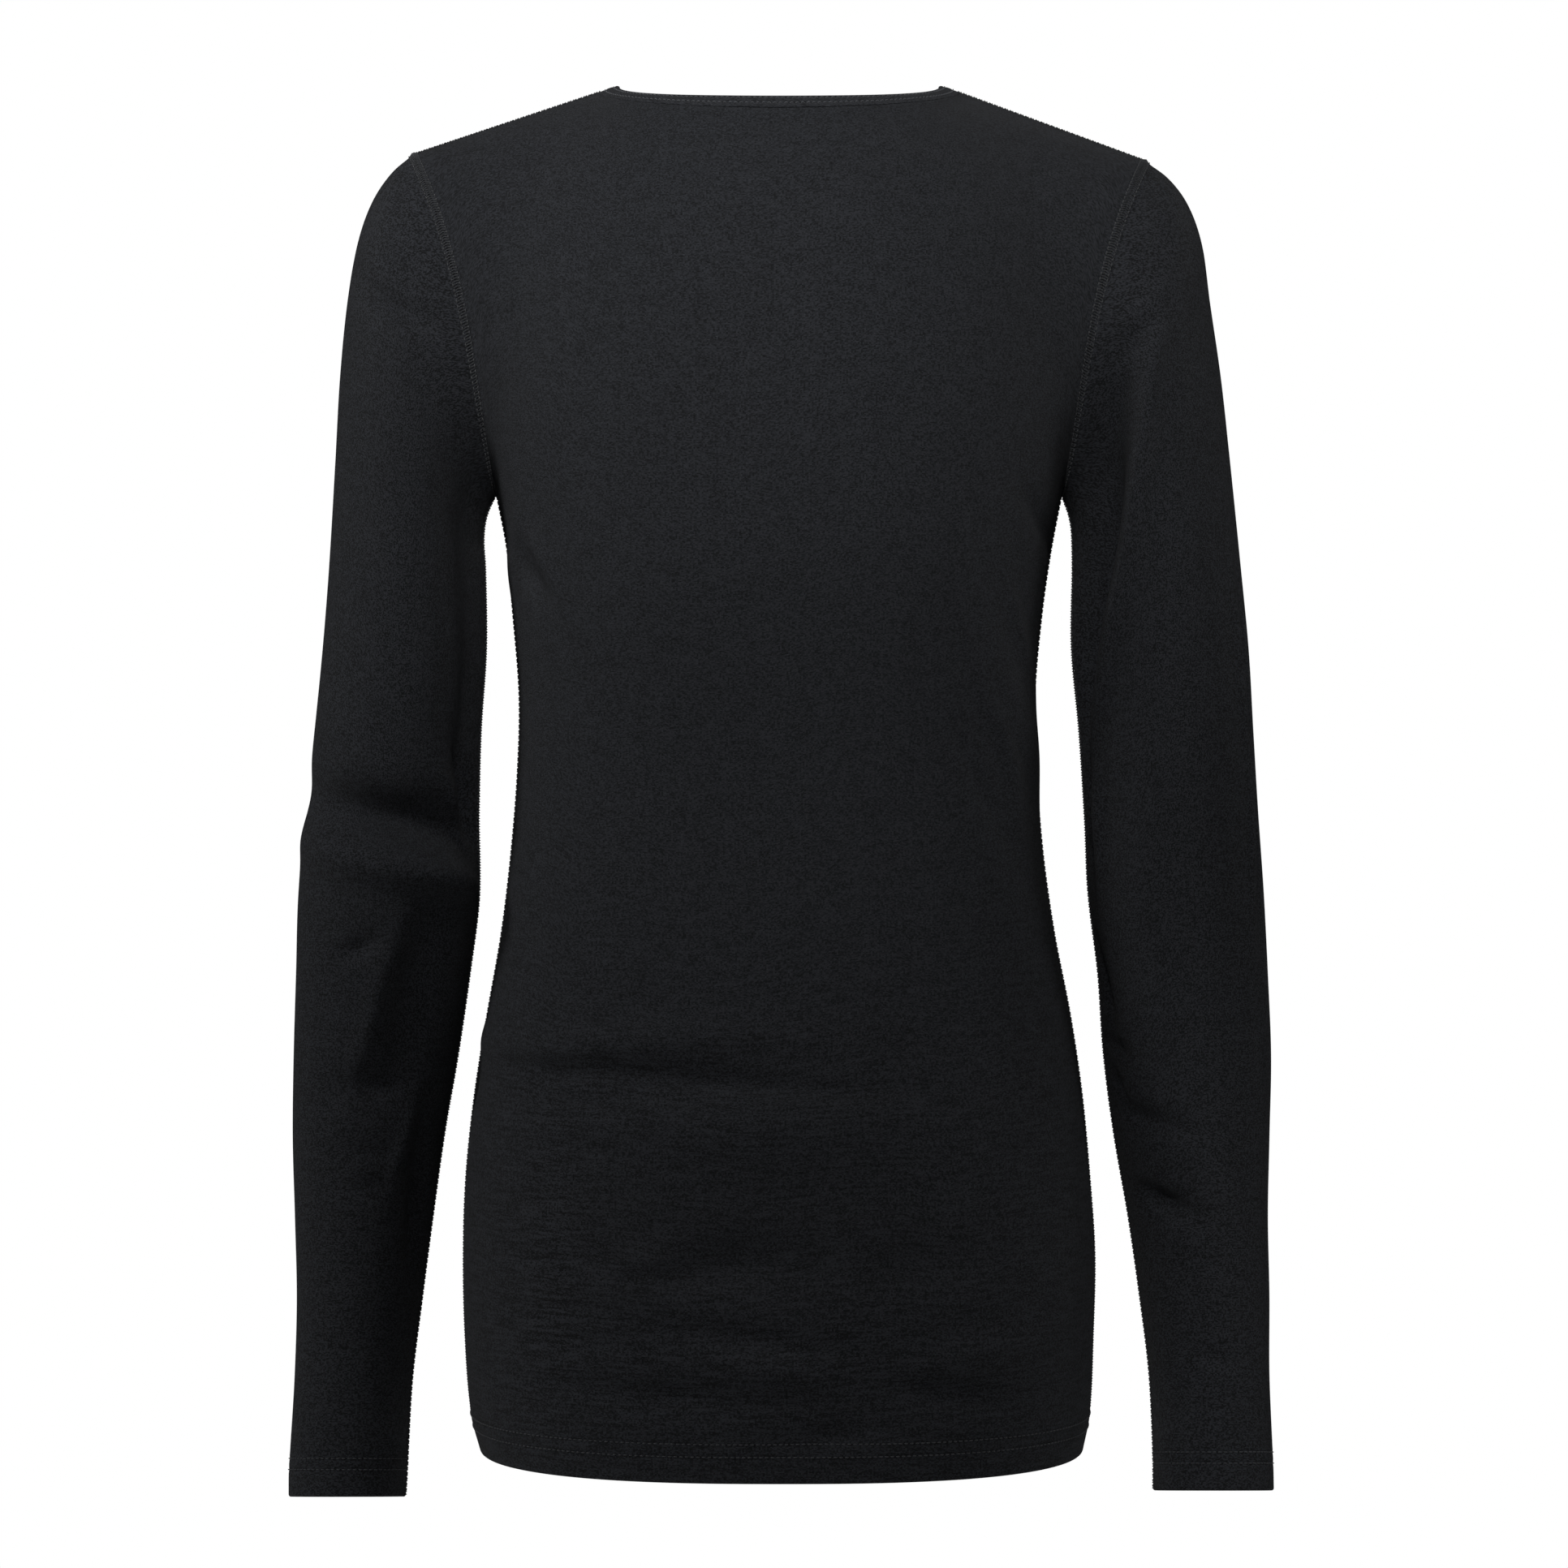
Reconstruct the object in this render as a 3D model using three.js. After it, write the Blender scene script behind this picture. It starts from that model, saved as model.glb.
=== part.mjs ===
// A woman's long-sleeved base layer top in thin wool jersey, filled out as if worn, with nothing inside it.
// It is cut as a back, a front and two set-in sleeves, and the neck edge is bound with the same cloth.
// The hem and the cuffs are turned up once. Neck, hem, cuffs and armholes are open.
// Millimetres. +X is the wearer's right, +Y is the front and +Z is up.
// The origin lies between the shoulders, level with the highest points of the neck edge.
import * as THREE from "three";

// Driving dimensions
const CLOTH_WALL = 1.2;
const HEM_WALL = 2.2;
const HEM_DEPTH = 18;
const HEM_STEP = 2; // the wall thins over this height above the hem
const SEAM_GAP = 0.3;
const HEM_Z = -650;
const HEM_SIDE_RISE = 3.5;
const HEM_RISE_REACH = 150; // the rise fades out over this height
const UNDERARM = { x: 134.2, z: -193 };
const SHOULDER_TIP = { x: 174, leftZ: -33, rightZ: -36 };
const NECK_SEAM = {
  halfWidth: 84.5,
  sideZ: -3,
  back: 67,
  backZ: -18.3,
  front: 72,
  frontZ: -84,
  frontFall: 1.3, // above 1 the seam stays high at the sides and drops more towards the centre
};
const BINDING = { width: 9, proud: 0.4, wall: 2, round: 0.8 };
const ARMHOLE = {
  halfDepth: 50,
  bow: 7, // how far the seam curves in towards the neck
  bowLean: 0.5, // above 0 the curve is deepest above the middle
  mitreAtUnderarm: 3, // the wall is this many times thicker where sleeve and body meet at a sharp angle
  mitreFade: 6,
  leanAtUnderarm: 0.05,
  leanAtTip: 0.35,
};

// How full a cross-section is: 2 is an ellipse, and more is squarer.
const BACK_FULLNESS = 2.5;
const FRONT_FULLNESS = 2.3;

// How the panels run up from the underarm to the neck and shoulder seams
const ELLIPSE_PULL = 1.66; // an end tangent this many times the travel gives a quarter of an ellipse
const SHOULDER_PITCH = 0.05; // how much the cloth still climbs where it reaches the shoulder seam
const NECK_LEAN = {
  back: { inward: 0.77, up: 0.64, pull: 120 },
  front: { inward: 0.5, up: 0.86, pull: 90 },
};
const ROW_SAG = 2; // the rows of points stay level in the middle and drop only near the armholes
const ARMHOLE_REACH = 2.4; // the cloth bends to meet the armhole seam over the outer part of each panel

// How many steps each piece is divided into
const NECK_COLUMNS = 6; // on each side of the centre line
const SHOULDER_COLUMNS = 4;
const HALF_ARMHOLE_STEPS = 11;
const CAP_SECTIONS = 7; // one ring for each section down to here, and two below it
const CUFF_STEP = 0.06; // the wall thickens over this share of a section
const CUFF_TILT = { slope: 0.135, from: 15, to: 18.5 }; // lifts the back edge more and more towards the cuff
const CAP_BLEND = 2; // the sleeve's head takes the armhole's curve over this many sections

// Level sections of the body. half is half its width, lean the sideways shift of its middle.
const BODY_SECTIONS = [
  { z: -650, half: 142.6, lean: 1.2, back: 112, front: 99 },
  { z: -632, half: 146.6, lean: 0.6, back: 114, front: 100 },
  { z: -596, half: 148.8, lean: 0, back: 116, front: 102 },
  { z: -557, half: 149.6, lean: 0, back: 117, front: 104 },
  { z: -519, half: 147.8, lean: -0.6, back: 115, front: 104 },
  { z: -480, half: 144, lean: -0.4, back: 109, front: 101 },
  { z: -442, half: 138.2, lean: -0.2, back: 99, front: 96 },
  { z: -403, half: 131, lean: -0.6, back: 89, front: 92 },
  { z: -365, half: 126, lean: -1, back: 83, front: 92 },
  { z: -326, half: 122.9, lean: -1, back: 83, front: 97 },
  { z: -290, half: 122.1, lean: -1, back: 89, front: 104 },
  { z: -250, half: 125.4, lean: -0.8, back: 98, front: 111 },
  { z: -220, half: 129, lean: 0, back: 104, front: 113 },
  { z: -193, half: 134.2, lean: 0, back: 106, front: 110 },
];

// Sections of the sleeves, from the armhole to the cuff. Each spans from its outer edge to its inner edge, at
// outL and inL on the left sleeve and at outR and inR on the right one. midY and halfY place it in depth.
const SLEEVE_SECTIONS = [
  { outZ: -33, inZ: -193, outL: 174, inL: 134.2, outR: 174, inR: 134.2, midY: 0, halfY: 50 },
  { outZ: -42, inZ: -195, outL: 184.4, inL: 135.3, outR: 185, inR: 135, midY: 0, halfY: 51.5 },
  { outZ: -56, inZ: -198, outL: 193.6, inL: 136.8, outR: 194.4, inR: 136, midY: 0, halfY: 52.5 },
  { outZ: -76, inZ: -201, outL: 200.3, inL: 138.1, outR: 200.9, inR: 137.1, midY: -1, halfY: 52.5 },
  { outZ: -104, inZ: -205, outL: 205.1, inL: 139.5, outR: 204.7, inR: 138.3, midY: -1, halfY: 51.5 },
  { outZ: -140, inZ: -211, outL: 208.5, inL: 140.5, outR: 209.8, inR: 139.3, midY: -2, halfY: 50 },
  { outZ: -181, inZ: -219, outL: 210.7, inL: 140.7, outR: 214.2, inR: 139.6, midY: -3, halfY: 48 },
  { outZ: -229, inZ: -232, outL: 213.4, inL: 139.8, outR: 218.9, inR: 139.6, midY: -5, halfY: 46.5 },
  { outZ: -268, inZ: -268, outL: 216.3, inL: 139.3, outR: 222.5, inR: 139.1, midY: -7, halfY: 45 },
  { outZ: -307, inZ: -307, outL: 220, inL: 141.7, outR: 224.6, inR: 142.5, midY: -9, halfY: 44 },
  { outZ: -345, inZ: -345, outL: 224, inL: 142.5, outR: 226.7, inR: 144.9, midY: -11, halfY: 42 },
  { outZ: -384, inZ: -384, outL: 227.5, inL: 142.3, outR: 229.4, inR: 146.8, midY: -11, halfY: 40 },
  { outZ: -422, inZ: -422, outL: 228.9, inL: 147, outR: 231.6, inR: 151.6, midY: -8, halfY: 38 },
  { outZ: -461, inZ: -461, outL: 230.5, inL: 153, outR: 233.6, inR: 154.6, midY: -3, halfY: 36 },
  { outZ: -500, inZ: -500, outL: 231.5, inL: 160, outR: 233.4, inR: 160, midY: 3, halfY: 34.5 },
  { outZ: -539, inZ: -539, outL: 231, inL: 165.8, outR: 233.2, inR: 167, midY: 9, halfY: 33 },
  { outZ: -578, inZ: -578, outL: 230.6, inL: 171.2, outR: 234.4, inR: 172.8, midY: 14, halfY: 31.5 },
  { outZ: -617, inZ: -617, outL: 232.1, inL: 176.2, outR: 234.8, inR: 177.7, midY: 18, halfY: 30 },
  { outZ: -657, inZ: -657, outL: 234.8, inL: 178.7, outR: 236.7, inR: 179.8, midY: 21, halfY: 28.5 },
  { outZ: -674, inZ: -674, outL: 235.2, inL: 179.8, outR: 237.2, inR: 180, midY: 22, halfY: 28 },
];

// Folds and hollows of the body: where the middle lies, how far it turns from level, and how far it reaches
// along and across. Depth is out of the cloth, and less than 0 is a trough.
const BACK_FOLDS = [
  { x: -70, z: -463, turn: 3, along: 62, across: 8, depth: -2.2 },
  { x: -60, z: -452, turn: 3, along: 70, across: 10, depth: 1.6 },
  { x: -15, z: -545, turn: -6, along: 60, across: 14, depth: -2.4 },
  { x: 8, z: -612, turn: 5, along: 52, across: 13, depth: -2.2 },
  { x: 76, z: -606, turn: -8, along: 40, across: 12, depth: -1.8 },
  { x: 108, z: -295, turn: -68, along: 46, across: 9, depth: 1.8 },
];
const FRONT_FOLDS = [
  { x: 58, z: -372, turn: 8, along: 54, across: 12, depth: -2 },
  { x: -66, z: -396, turn: -7, along: 50, across: 12, depth: -2 },
  { x: 20, z: -470, turn: -4, along: 64, across: 14, depth: -1.8 },
];

// Folds of the sleeves: z and angle round the arm (0 outer edge, 90 back, 180 inner edge) of the middle,
// how far it turns from level, and its reach and depth as above.
const LEFT_SLEEVE_FOLDS = [
  { z: -352, angle: 128, turn: -16, along: 38, across: 13, depth: -5 },
  { z: -374, angle: 122, turn: -24, along: 36, across: 11, depth: 4 },
  { z: -402, angle: 116, turn: 30, along: 26, across: 11, depth: -2.4 },
  { z: -478, angle: 138, turn: -34, along: 44, across: 12, depth: -3.4 },
  { z: -118, angle: 66, turn: -34, along: 26, across: 7, depth: -2 },
  { z: -140, angle: 78, turn: -34, along: 28, across: 8, depth: -2 },
];
const RIGHT_SLEEVE_FOLDS = [
  { z: -128, angle: 78, turn: 42, along: 34, across: 8, depth: -2.6 },
  { z: -168, angle: 82, turn: 56, along: 44, across: 10, depth: -3.4 },
  { z: -262, angle: 116, turn: 78, along: 84, across: 11, depth: -4 },
  { z: -452, angle: 136, turn: 30, along: 26, across: 9, depth: -3.2 },
  { z: -536, angle: 116, turn: 16, along: 24, across: 10, depth: -3.4 },
  { z: -416, angle: 150, turn: 40, along: 30, across: 9, depth: 2.6 },
];
const SLEEVE_FOLD_RADIUS = 40; // turns an angle round the arm into a length
const FOLD_FREE_SECTIONS = 3; // the folds grow to their full depth over this many sections from the armhole

const RIGHT_ANGLE = Math.PI / 2;
const mix = THREE.MathUtils.lerp;
const vector = (x, y, z) => new THREE.Vector3(x, y, z);
const tipZ = (hand) => (hand < 0 ? SHOULDER_TIP.leftZ : SHOULDER_TIP.rightZ);

// A smooth curve through one column of a table. Its slope at a row is that between the rows beside it.
function through(rows, along, key, at) {
  const rising = rows[rows.length - 1][along] > rows[0][along];
  const last = rows.length - 1;
  let low = 0;
  while (low < last - 1 && (rising ? at > rows[low + 1][along] : at < rows[low + 1][along])) low += 1;
  const slope = (i) => {
    const [before, after] = [rows[Math.max(i - 1, 0)], rows[Math.min(i + 1, last)]];
    return (after[key] - before[key]) / (after[along] - before[along]);
  };
  const [from, to] = [rows[low], rows[low + 1]];
  const step = to[along] - from[along];
  const t = (at - from[along]) / step;
  const startWeight = 2 * t ** 3 - 3 * t ** 2 + 1;
  const startSlopeWeight = t ** 3 - 2 * t ** 2 + t;
  const endSlopeWeight = t ** 3 - t ** 2;
  return (
    startWeight * from[key] +
    (1 - startWeight) * to[key] +
    startSlopeWeight * step * slope(low) +
    endSlopeWeight * step * slope(low + 1)
  );
}

// Cubic from one point to another that leaves and arrives along the given tangents
function cubic(start, end, leave, arrive, t) {
  const startWeight = 2 * t ** 3 - 3 * t ** 2 + 1;
  return vector(0, 0, 0)
    .addScaledVector(start, startWeight)
    .addScaledVector(end, 1 - startWeight)
    .addScaledVector(leave, t ** 3 - 2 * t ** 2 + t)
    .addScaledVector(arrive, t ** 3 - t ** 2);
}

// How far a fold lifts the cloth at a place that is dx along and dz up from its middle
function foldLift(fold, dx, dz) {
  const turn = THREE.MathUtils.degToRad(fold.turn);
  const along = dx * Math.cos(turn) + dz * Math.sin(turn);
  const across = dz * Math.cos(turn) - dx * Math.sin(turn);
  return fold.depth * Math.exp(-((along / fold.along) ** 2) - (across / fold.across) ** 2);
}

// A point of the body below the underarm. side is -1 on the back and 1 on the front.
// across runs from -1 at the left side seam, through 0 at the centre, to 1 at the right side seam.
function bodyPoint(side, across, z) {
  const section = (key) => through(BODY_SECTIONS, "z", key, z);
  const power = 2 / (side < 0 ? BACK_FULLNESS : FRONT_FULLNESS);
  const angle = (1 - Math.abs(across)) * RIGHT_ANGLE;
  const depth = section(side < 0 ? "back" : "front");
  return vector(
    section("lean") + Math.sign(across) * section("half") * Math.cos(angle) ** power,
    side * depth * Math.sin(angle) ** power,
    z + HEM_SIDE_RISE * across ** 2 * Math.max(0, 1 - (z - HEM_Z) / HEM_RISE_REACH),
  );
}

// A point of the seam between the neck binding and the body. angle is 0 at the wearer's right, 90 degrees at
// the centre of the panel that side names, and 180 degrees at the wearer's left.
function neckSeamPoint(side, angle) {
  const drop = Math.sin(angle);
  const [depth, lowZ] = side < 0 ? [NECK_SEAM.back, NECK_SEAM.backZ] : [NECK_SEAM.front, NECK_SEAM.frontZ];
  const fall = side < 0 ? drop : drop ** NECK_SEAM.frontFall;
  return vector(
    NECK_SEAM.halfWidth * Math.cos(angle),
    side * depth * drop,
    mix(NECK_SEAM.sideZ, lowZ, fall),
  );
}

// The upper edge of a panel: the neck seam in the middle and a shoulder seam on each side of it
const NECK_SHARE = NECK_COLUMNS / (NECK_COLUMNS + SHOULDER_COLUMNS);
function upperEdge(side, across) {
  const out = Math.abs(across);
  if (out <= NECK_SHARE) {
    const point = neckSeamPoint(side, (1 - out / NECK_SHARE) * RIGHT_ANGLE);
    return point.setX(point.x * (Math.sign(across) || 1));
  }
  const share = (out - NECK_SHARE) / (1 - NECK_SHARE);
  return vector(
    Math.sign(across) * mix(NECK_SEAM.halfWidth, SHOULDER_TIP.x, share),
    0,
    mix(NECK_SEAM.sideZ, tipZ(across), share),
  );
}

// The armhole seam. angle is 0 at the shoulder tip and 180 degrees at the underarm, by way of the back for
// side -1 and the front for side 1. hand is -1 on the wearer's left.
function armholePoint(hand, side, angle) {
  const height = Math.cos(angle);
  const bow = ARMHOLE.bow * (1 - height ** 2) * (1 + ARMHOLE.bowLean * height);
  const share = (1 + height) / 2;
  return vector(
    hand * (mix(UNDERARM.x, SHOULDER_TIP.x, share) - bow),
    side * ARMHOLE.halfDepth * Math.sin(angle),
    mix(UNDERARM.z, tipZ(hand), share),
  );
}

// The direction out of the cloth that the body and the sleeve share along the armhole seam
function armholeOutward(hand, side, angle) {
  const spine = vector(hand * (SHOULDER_TIP.x - UNDERARM.x), 0, tipZ(hand) - UNDERARM.z).normalize();
  const lateral = vector(hand * spine.z, 0, -Math.abs(spine.x));
  const share = (1 + Math.cos(angle)) / 2;
  return vector(0, side * Math.sin(angle), 0)
    .addScaledVector(spine, Math.cos(angle))
    .addScaledVector(lateral, mix(ARMHOLE.leanAtUnderarm, ARMHOLE.leanAtTip, share))
    .normalize();
}

// The direction across the armhole seam, from the body to the sleeve
function acrossArmhole(hand, side, angle) {
  const step = 0.01;
  const along = armholePoint(hand, side, angle + step).sub(armholePoint(hand, side, angle - step));
  const away = along.cross(armholeOutward(hand, side, angle)).normalize();
  return away.multiplyScalar(Math.sign(away.x) * hand);
}

const armholeWall = (angle) =>
  CLOTH_WALL * mix(1, ARMHOLE.mitreAtUnderarm, ((1 - Math.cos(angle)) / 2) ** ARMHOLE.mitreFade);

// How far across a panel its armhole edge lies: where the body is as deep as the armhole
function armholeAcross(side, climb) {
  const depth = ARMHOLE.halfDepth * Math.sin(Math.PI * climb);
  const [fullness, key] = side < 0 ? [BACK_FULLNESS, "back"] : [FRONT_FULLNESS, "front"];
  const share = depth / BODY_SECTIONS[BODY_SECTIONS.length - 1][key];
  return 1 - Math.asin(share ** (fullness / 2)) / RIGHT_ANGLE;
}

// A point of a panel above the underarm. climb runs from 0 at the underarm to 1 at the neck or shoulder seam,
// and across from -1 at the left armhole to 1 at the right one.
function upperPoint(side, across, climb) {
  const lean = side < 0 ? NECK_LEAN.back : NECK_LEAN.front;
  const column = (place, share) => {
    const start = bodyPoint(side, place, UNDERARM.z);
    const end = upperEdge(side, place);
    const leave = start
      .clone()
      .sub(bodyPoint(side, place, UNDERARM.z - 1))
      .multiplyScalar(ELLIPSE_PULL * (end.z - start.z));
    const ridge = THREE.MathUtils.smoothstep(Math.abs(place), 0, NECK_SHARE);
    const shoulderPull = ELLIPSE_PULL * Math.abs(start.y - end.y);
    const atShoulder = vector(0, -side, SHOULDER_PITCH).multiplyScalar(shoulderPull);
    const atNeck = vector(0, -side * lean.inward, lean.up).multiplyScalar(lean.pull);
    return cubic(start, end, leave, atNeck.lerp(atShoulder, ridge), share);
  };
  const hand = Math.sign(across) || 1;
  const out = Math.abs(across);
  const reach = armholeAcross(side, climb);
  const edgeRise = Math.asin((1 - Math.cos(Math.PI * climb)) / 2) / RIGHT_ANGLE;
  const edge = column(hand * reach, edgeRise);
  const toArmhole = armholePoint(hand, side, Math.PI * (1 - climb)).sub(edge);
  const rise = mix(climb, edgeRise, out ** ROW_SAG);
  return column(across * reach, rise).addScaledVector(toArmhole, out ** ARMHOLE_REACH);
}

// A point of a sleeve. section counts along SLEEVE_SECTIONS. angle is 0 at the outer edge, 90 degrees at the
// back and 180 at the inner edge, and runs round to 360.
const SLEEVE_ROWS = SLEEVE_SECTIONS.map((row, index) => ({ ...row, index }));
function sleevePoint(hand, section, angle) {
  const read = (key) => through(SLEEVE_ROWS, "index", key, section);
  const name = hand < 0 ? "L" : "R";
  const height = Math.cos(angle);
  const share = (1 + height) / 2;
  const bowFade = Math.exp(-((section / CAP_BLEND) ** 2));
  const bow = bowFade * ARMHOLE.bow * (1 - height ** 2) * (1 + ARMHOLE.bowLean * height);
  const fromMiddle = -read("halfY") * Math.sin(angle);
  const tilt = CUFF_TILT.slope * THREE.MathUtils.smoothstep(section, CUFF_TILT.from, CUFF_TILT.to);
  const outZ = read("outZ") + bowFade * (tipZ(hand) - SHOULDER_TIP.leftZ);
  return vector(
    hand * (mix(read("in" + name), read("out" + name), share) - bow),
    read("midY") + fromMiddle,
    mix(read("inZ"), outZ, share) - tilt * fromMiddle,
  );
}

// Directions out of a grid of points, from the steps to each point's neighbours
function outwards(grid, closed, flip) {
  const columns = grid[0].length;
  return grid.map((row, j) =>
    row.map((_, i) => {
      const left = closed ? (i + columns - 1) % columns : Math.max(i - 1, 0);
      const right = closed ? (i + 1) % columns : Math.min(i + 1, columns - 1);
      const sideways = row[right].clone().sub(row[left]);
      const upward = grid[Math.min(j + 1, grid.length - 1)][i].clone().sub(grid[Math.max(j - 1, 0)][i]);
      return sideways.cross(upward).normalize().multiplyScalar(flip);
    }),
  );
}

// A closed solid between an outer and an inner grid of points of the same shape
function wallGeometry(outer, inner, closed, flip) {
  const columns = outer[0].length;
  const rows = outer.length;
  const positions = [...outer, ...inner].flatMap((row) => row.flatMap((p) => [p.x, p.y, p.z]));
  const at = (layer, j, i) => (layer * rows + j) * columns + (i % columns);
  const index = [];
  const quad = (a, b, c, d) => index.push(...(flip > 0 ? [a, b, c, a, c, d] : [a, c, b, a, d, c]));
  const steps = closed ? columns : columns - 1;
  for (let j = 0; j < rows - 1; j += 1) {
    for (let i = 0; i < steps; i += 1) {
      quad(at(0, j, i), at(0, j, i + 1), at(0, j + 1, i + 1), at(0, j + 1, i));
      quad(at(1, j, i), at(1, j + 1, i), at(1, j + 1, i + 1), at(1, j, i + 1));
    }
  }
  for (let i = 0; i < steps; i += 1) {
    quad(at(1, 0, i), at(1, 0, i + 1), at(0, 0, i + 1), at(0, 0, i));
    quad(at(0, rows - 1, i), at(0, rows - 1, i + 1), at(1, rows - 1, i + 1), at(1, rows - 1, i));
  }
  if (!closed) {
    for (let j = 0; j < rows - 1; j += 1) {
      quad(at(1, j, 0), at(0, j, 0), at(0, j + 1, 0), at(1, j + 1, 0));
      const edge = columns - 1;
      quad(at(0, j, edge), at(1, j, edge), at(1, j + 1, edge), at(0, j + 1, edge));
    }
  }
  const geometry = new THREE.BufferGeometry();
  geometry.setAttribute("position", new THREE.Float32BufferAttribute(positions, 3));
  geometry.setIndex(index);
  geometry.computeVertexNormals();
  return geometry;
}

// Moves a point of an edge, and the inner point behind it, half a seam gap the given way
function backOff(outer, inner, way) {
  const step = way.clone().setLength(SEAM_GAP / 2);
  outer.add(step);
  inner.add(step);
}

const spread = (from, to, count) => Array.from({ length: count }, (_, i) => mix(from, to, i / count));

// The heights of a panel's rows below the underarm: close together at the hem and wherever the cloth folds
function panelHeights(folded) {
  const hemTop = HEM_Z + HEM_DEPTH;
  const [bodyBottom, seat, waist] = [hemTop + HEM_STEP, -500, -436];
  const close = folded
    ? [...spread(bodyBottom, seat, 7), ...spread(seat, waist, 5)]
    : spread(bodyBottom, waist, 8);
  return [HEM_Z, hemTop, ...close, ...spread(waist, UNDERARM.z, 10)];
}

// Front or back panel, from the hem to the neck seam and from side seam to side seam
function panel(side, folds) {
  const columns = NECK_COLUMNS + SHOULDER_COLUMNS;
  const acrosses = Array.from({ length: 2 * columns + 1 }, (_, i) => i / columns - 1);
  const climbs = Array.from({ length: HALF_ARMHOLE_STEPS + 1 }, (_, j) => j / HALF_ARMHOLE_STEPS);
  const heights = panelHeights(side < 0);
  const outer = [
    ...heights.map((z) => acrosses.map((across) => bodyPoint(side, across, z))),
    ...climbs.map((climb) => acrosses.map((across) => upperPoint(side, across, climb))),
  ];
  const flip = -side;
  const directions = outwards(outer, false, flip);
  const inner = outer.map((row, j) =>
    row.map((point, i) => {
      const climb = climbs[j - heights.length];
      const armhole = climb >= 0 && Math.abs(acrosses[i]) === 1;
      const shoulder = climb === 1 && Math.abs(acrosses[i]) >= NECK_SHARE;
      const sideSeam = !armhole && Math.abs(acrosses[i]) === 1;
      const direction = directions[j][i];
      if (sideSeam || shoulder) direction.setY(0).normalize();
      if (armhole) direction.copy(armholeOutward(acrosses[i], side, Math.PI * (1 - climb)));
      const wall = heights[j] <= HEM_Z + HEM_DEPTH ? HEM_WALL : CLOTH_WALL;
      const lift = folds.reduce((sum, fold) => sum + foldLift(fold, point.x - fold.x, point.z - fold.z), 0);
      if (!armhole && !shoulder && !sideSeam) point.addScaledVector(direction, lift);
      return point
        .clone()
        .addScaledVector(direction, -(armhole ? armholeWall(Math.PI * (1 - climb)) : wall));
    }),
  );
  const lastColumn = acrosses.length - 1;
  outer.forEach((row, j) => {
    const climb = climbs[j - heights.length];
    for (const i of [0, lastColumn]) {
      const inwards = row[i === 0 ? 1 : lastColumn - 1].clone().sub(row[i]);
      const awayFromSleeve = () => acrossArmhole(acrosses[i], side, Math.PI * (1 - climb)).negate();
      backOff(row[i], inner[j][i], climb >= 0 ? awayFromSleeve() : inwards);
      if (climb === 0) backOff(row[i], inner[j][i], vector(0, side, 0));
    }
  });
  const top = outer.length - 1;
  outer[top].forEach((point, i) => {
    backOff(point, inner[top][i], outer[top - 1][i].clone().sub(point));
  });
  return wallGeometry(outer, inner, false, flip);
}

// Sleeve from the armhole seam to the turned-up cuff
function sleeve(hand, folds) {
  const lastSection = SLEEVE_SECTIONS.length - 1;
  const cuffTop = lastSection - 1;
  const cap = spread(0, CAP_SECTIONS, CAP_SECTIONS);
  const arm = spread(CAP_SECTIONS, cuffTop, 2 * (cuffTop - CAP_SECTIONS));
  const sections = [...cap, ...arm, cuffTop - CUFF_STEP, cuffTop, lastSection];
  const around = 2 * HALF_ARMHOLE_STEPS;
  const angles = Array.from({ length: around }, (_, i) => (i / around) * 2 * Math.PI);
  const outer = sections.map((section) => angles.map((angle) => sleevePoint(hand, section, angle)));
  const flip = hand;
  const directions = outwards(outer, true, flip);
  const inner = outer.map((row, j) =>
    row.map((point, i) => {
      const [direction, angle] = [directions[j][i], angles[i]];
      const side = angle <= Math.PI ? -1 : 1;
      const fromTop = angle <= Math.PI ? angle : 2 * Math.PI - angle;
      if (j === 0) direction.copy(armholeOutward(hand, side, fromTop));
      const degrees = THREE.MathUtils.radToDeg(angle);
      const lift = folds.reduce((sum, fold) => {
        const along = THREE.MathUtils.degToRad(degrees - fold.angle) * SLEEVE_FOLD_RADIUS;
        return sum + foldLift(fold, along, point.z - fold.z);
      }, 0);
      point.addScaledVector(direction, lift * THREE.MathUtils.smoothstep(sections[j], 0, FOLD_FREE_SECTIONS));
      const wall = sections[j] >= cuffTop ? HEM_WALL : CLOTH_WALL;
      return point.clone().addScaledVector(direction, -(j === 0 ? armholeWall(fromTop) : wall));
    }),
  );
  outer[0].forEach((point, i) => {
    const side = angles[i] <= Math.PI ? -1 : 1;
    const fromTop = angles[i] <= Math.PI ? angles[i] : 2 * Math.PI - angles[i];
    backOff(point, inner[0][i], acrossArmhole(hand, side, fromTop));
  });
  return wallGeometry(outer, inner, true, flip);
}

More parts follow.
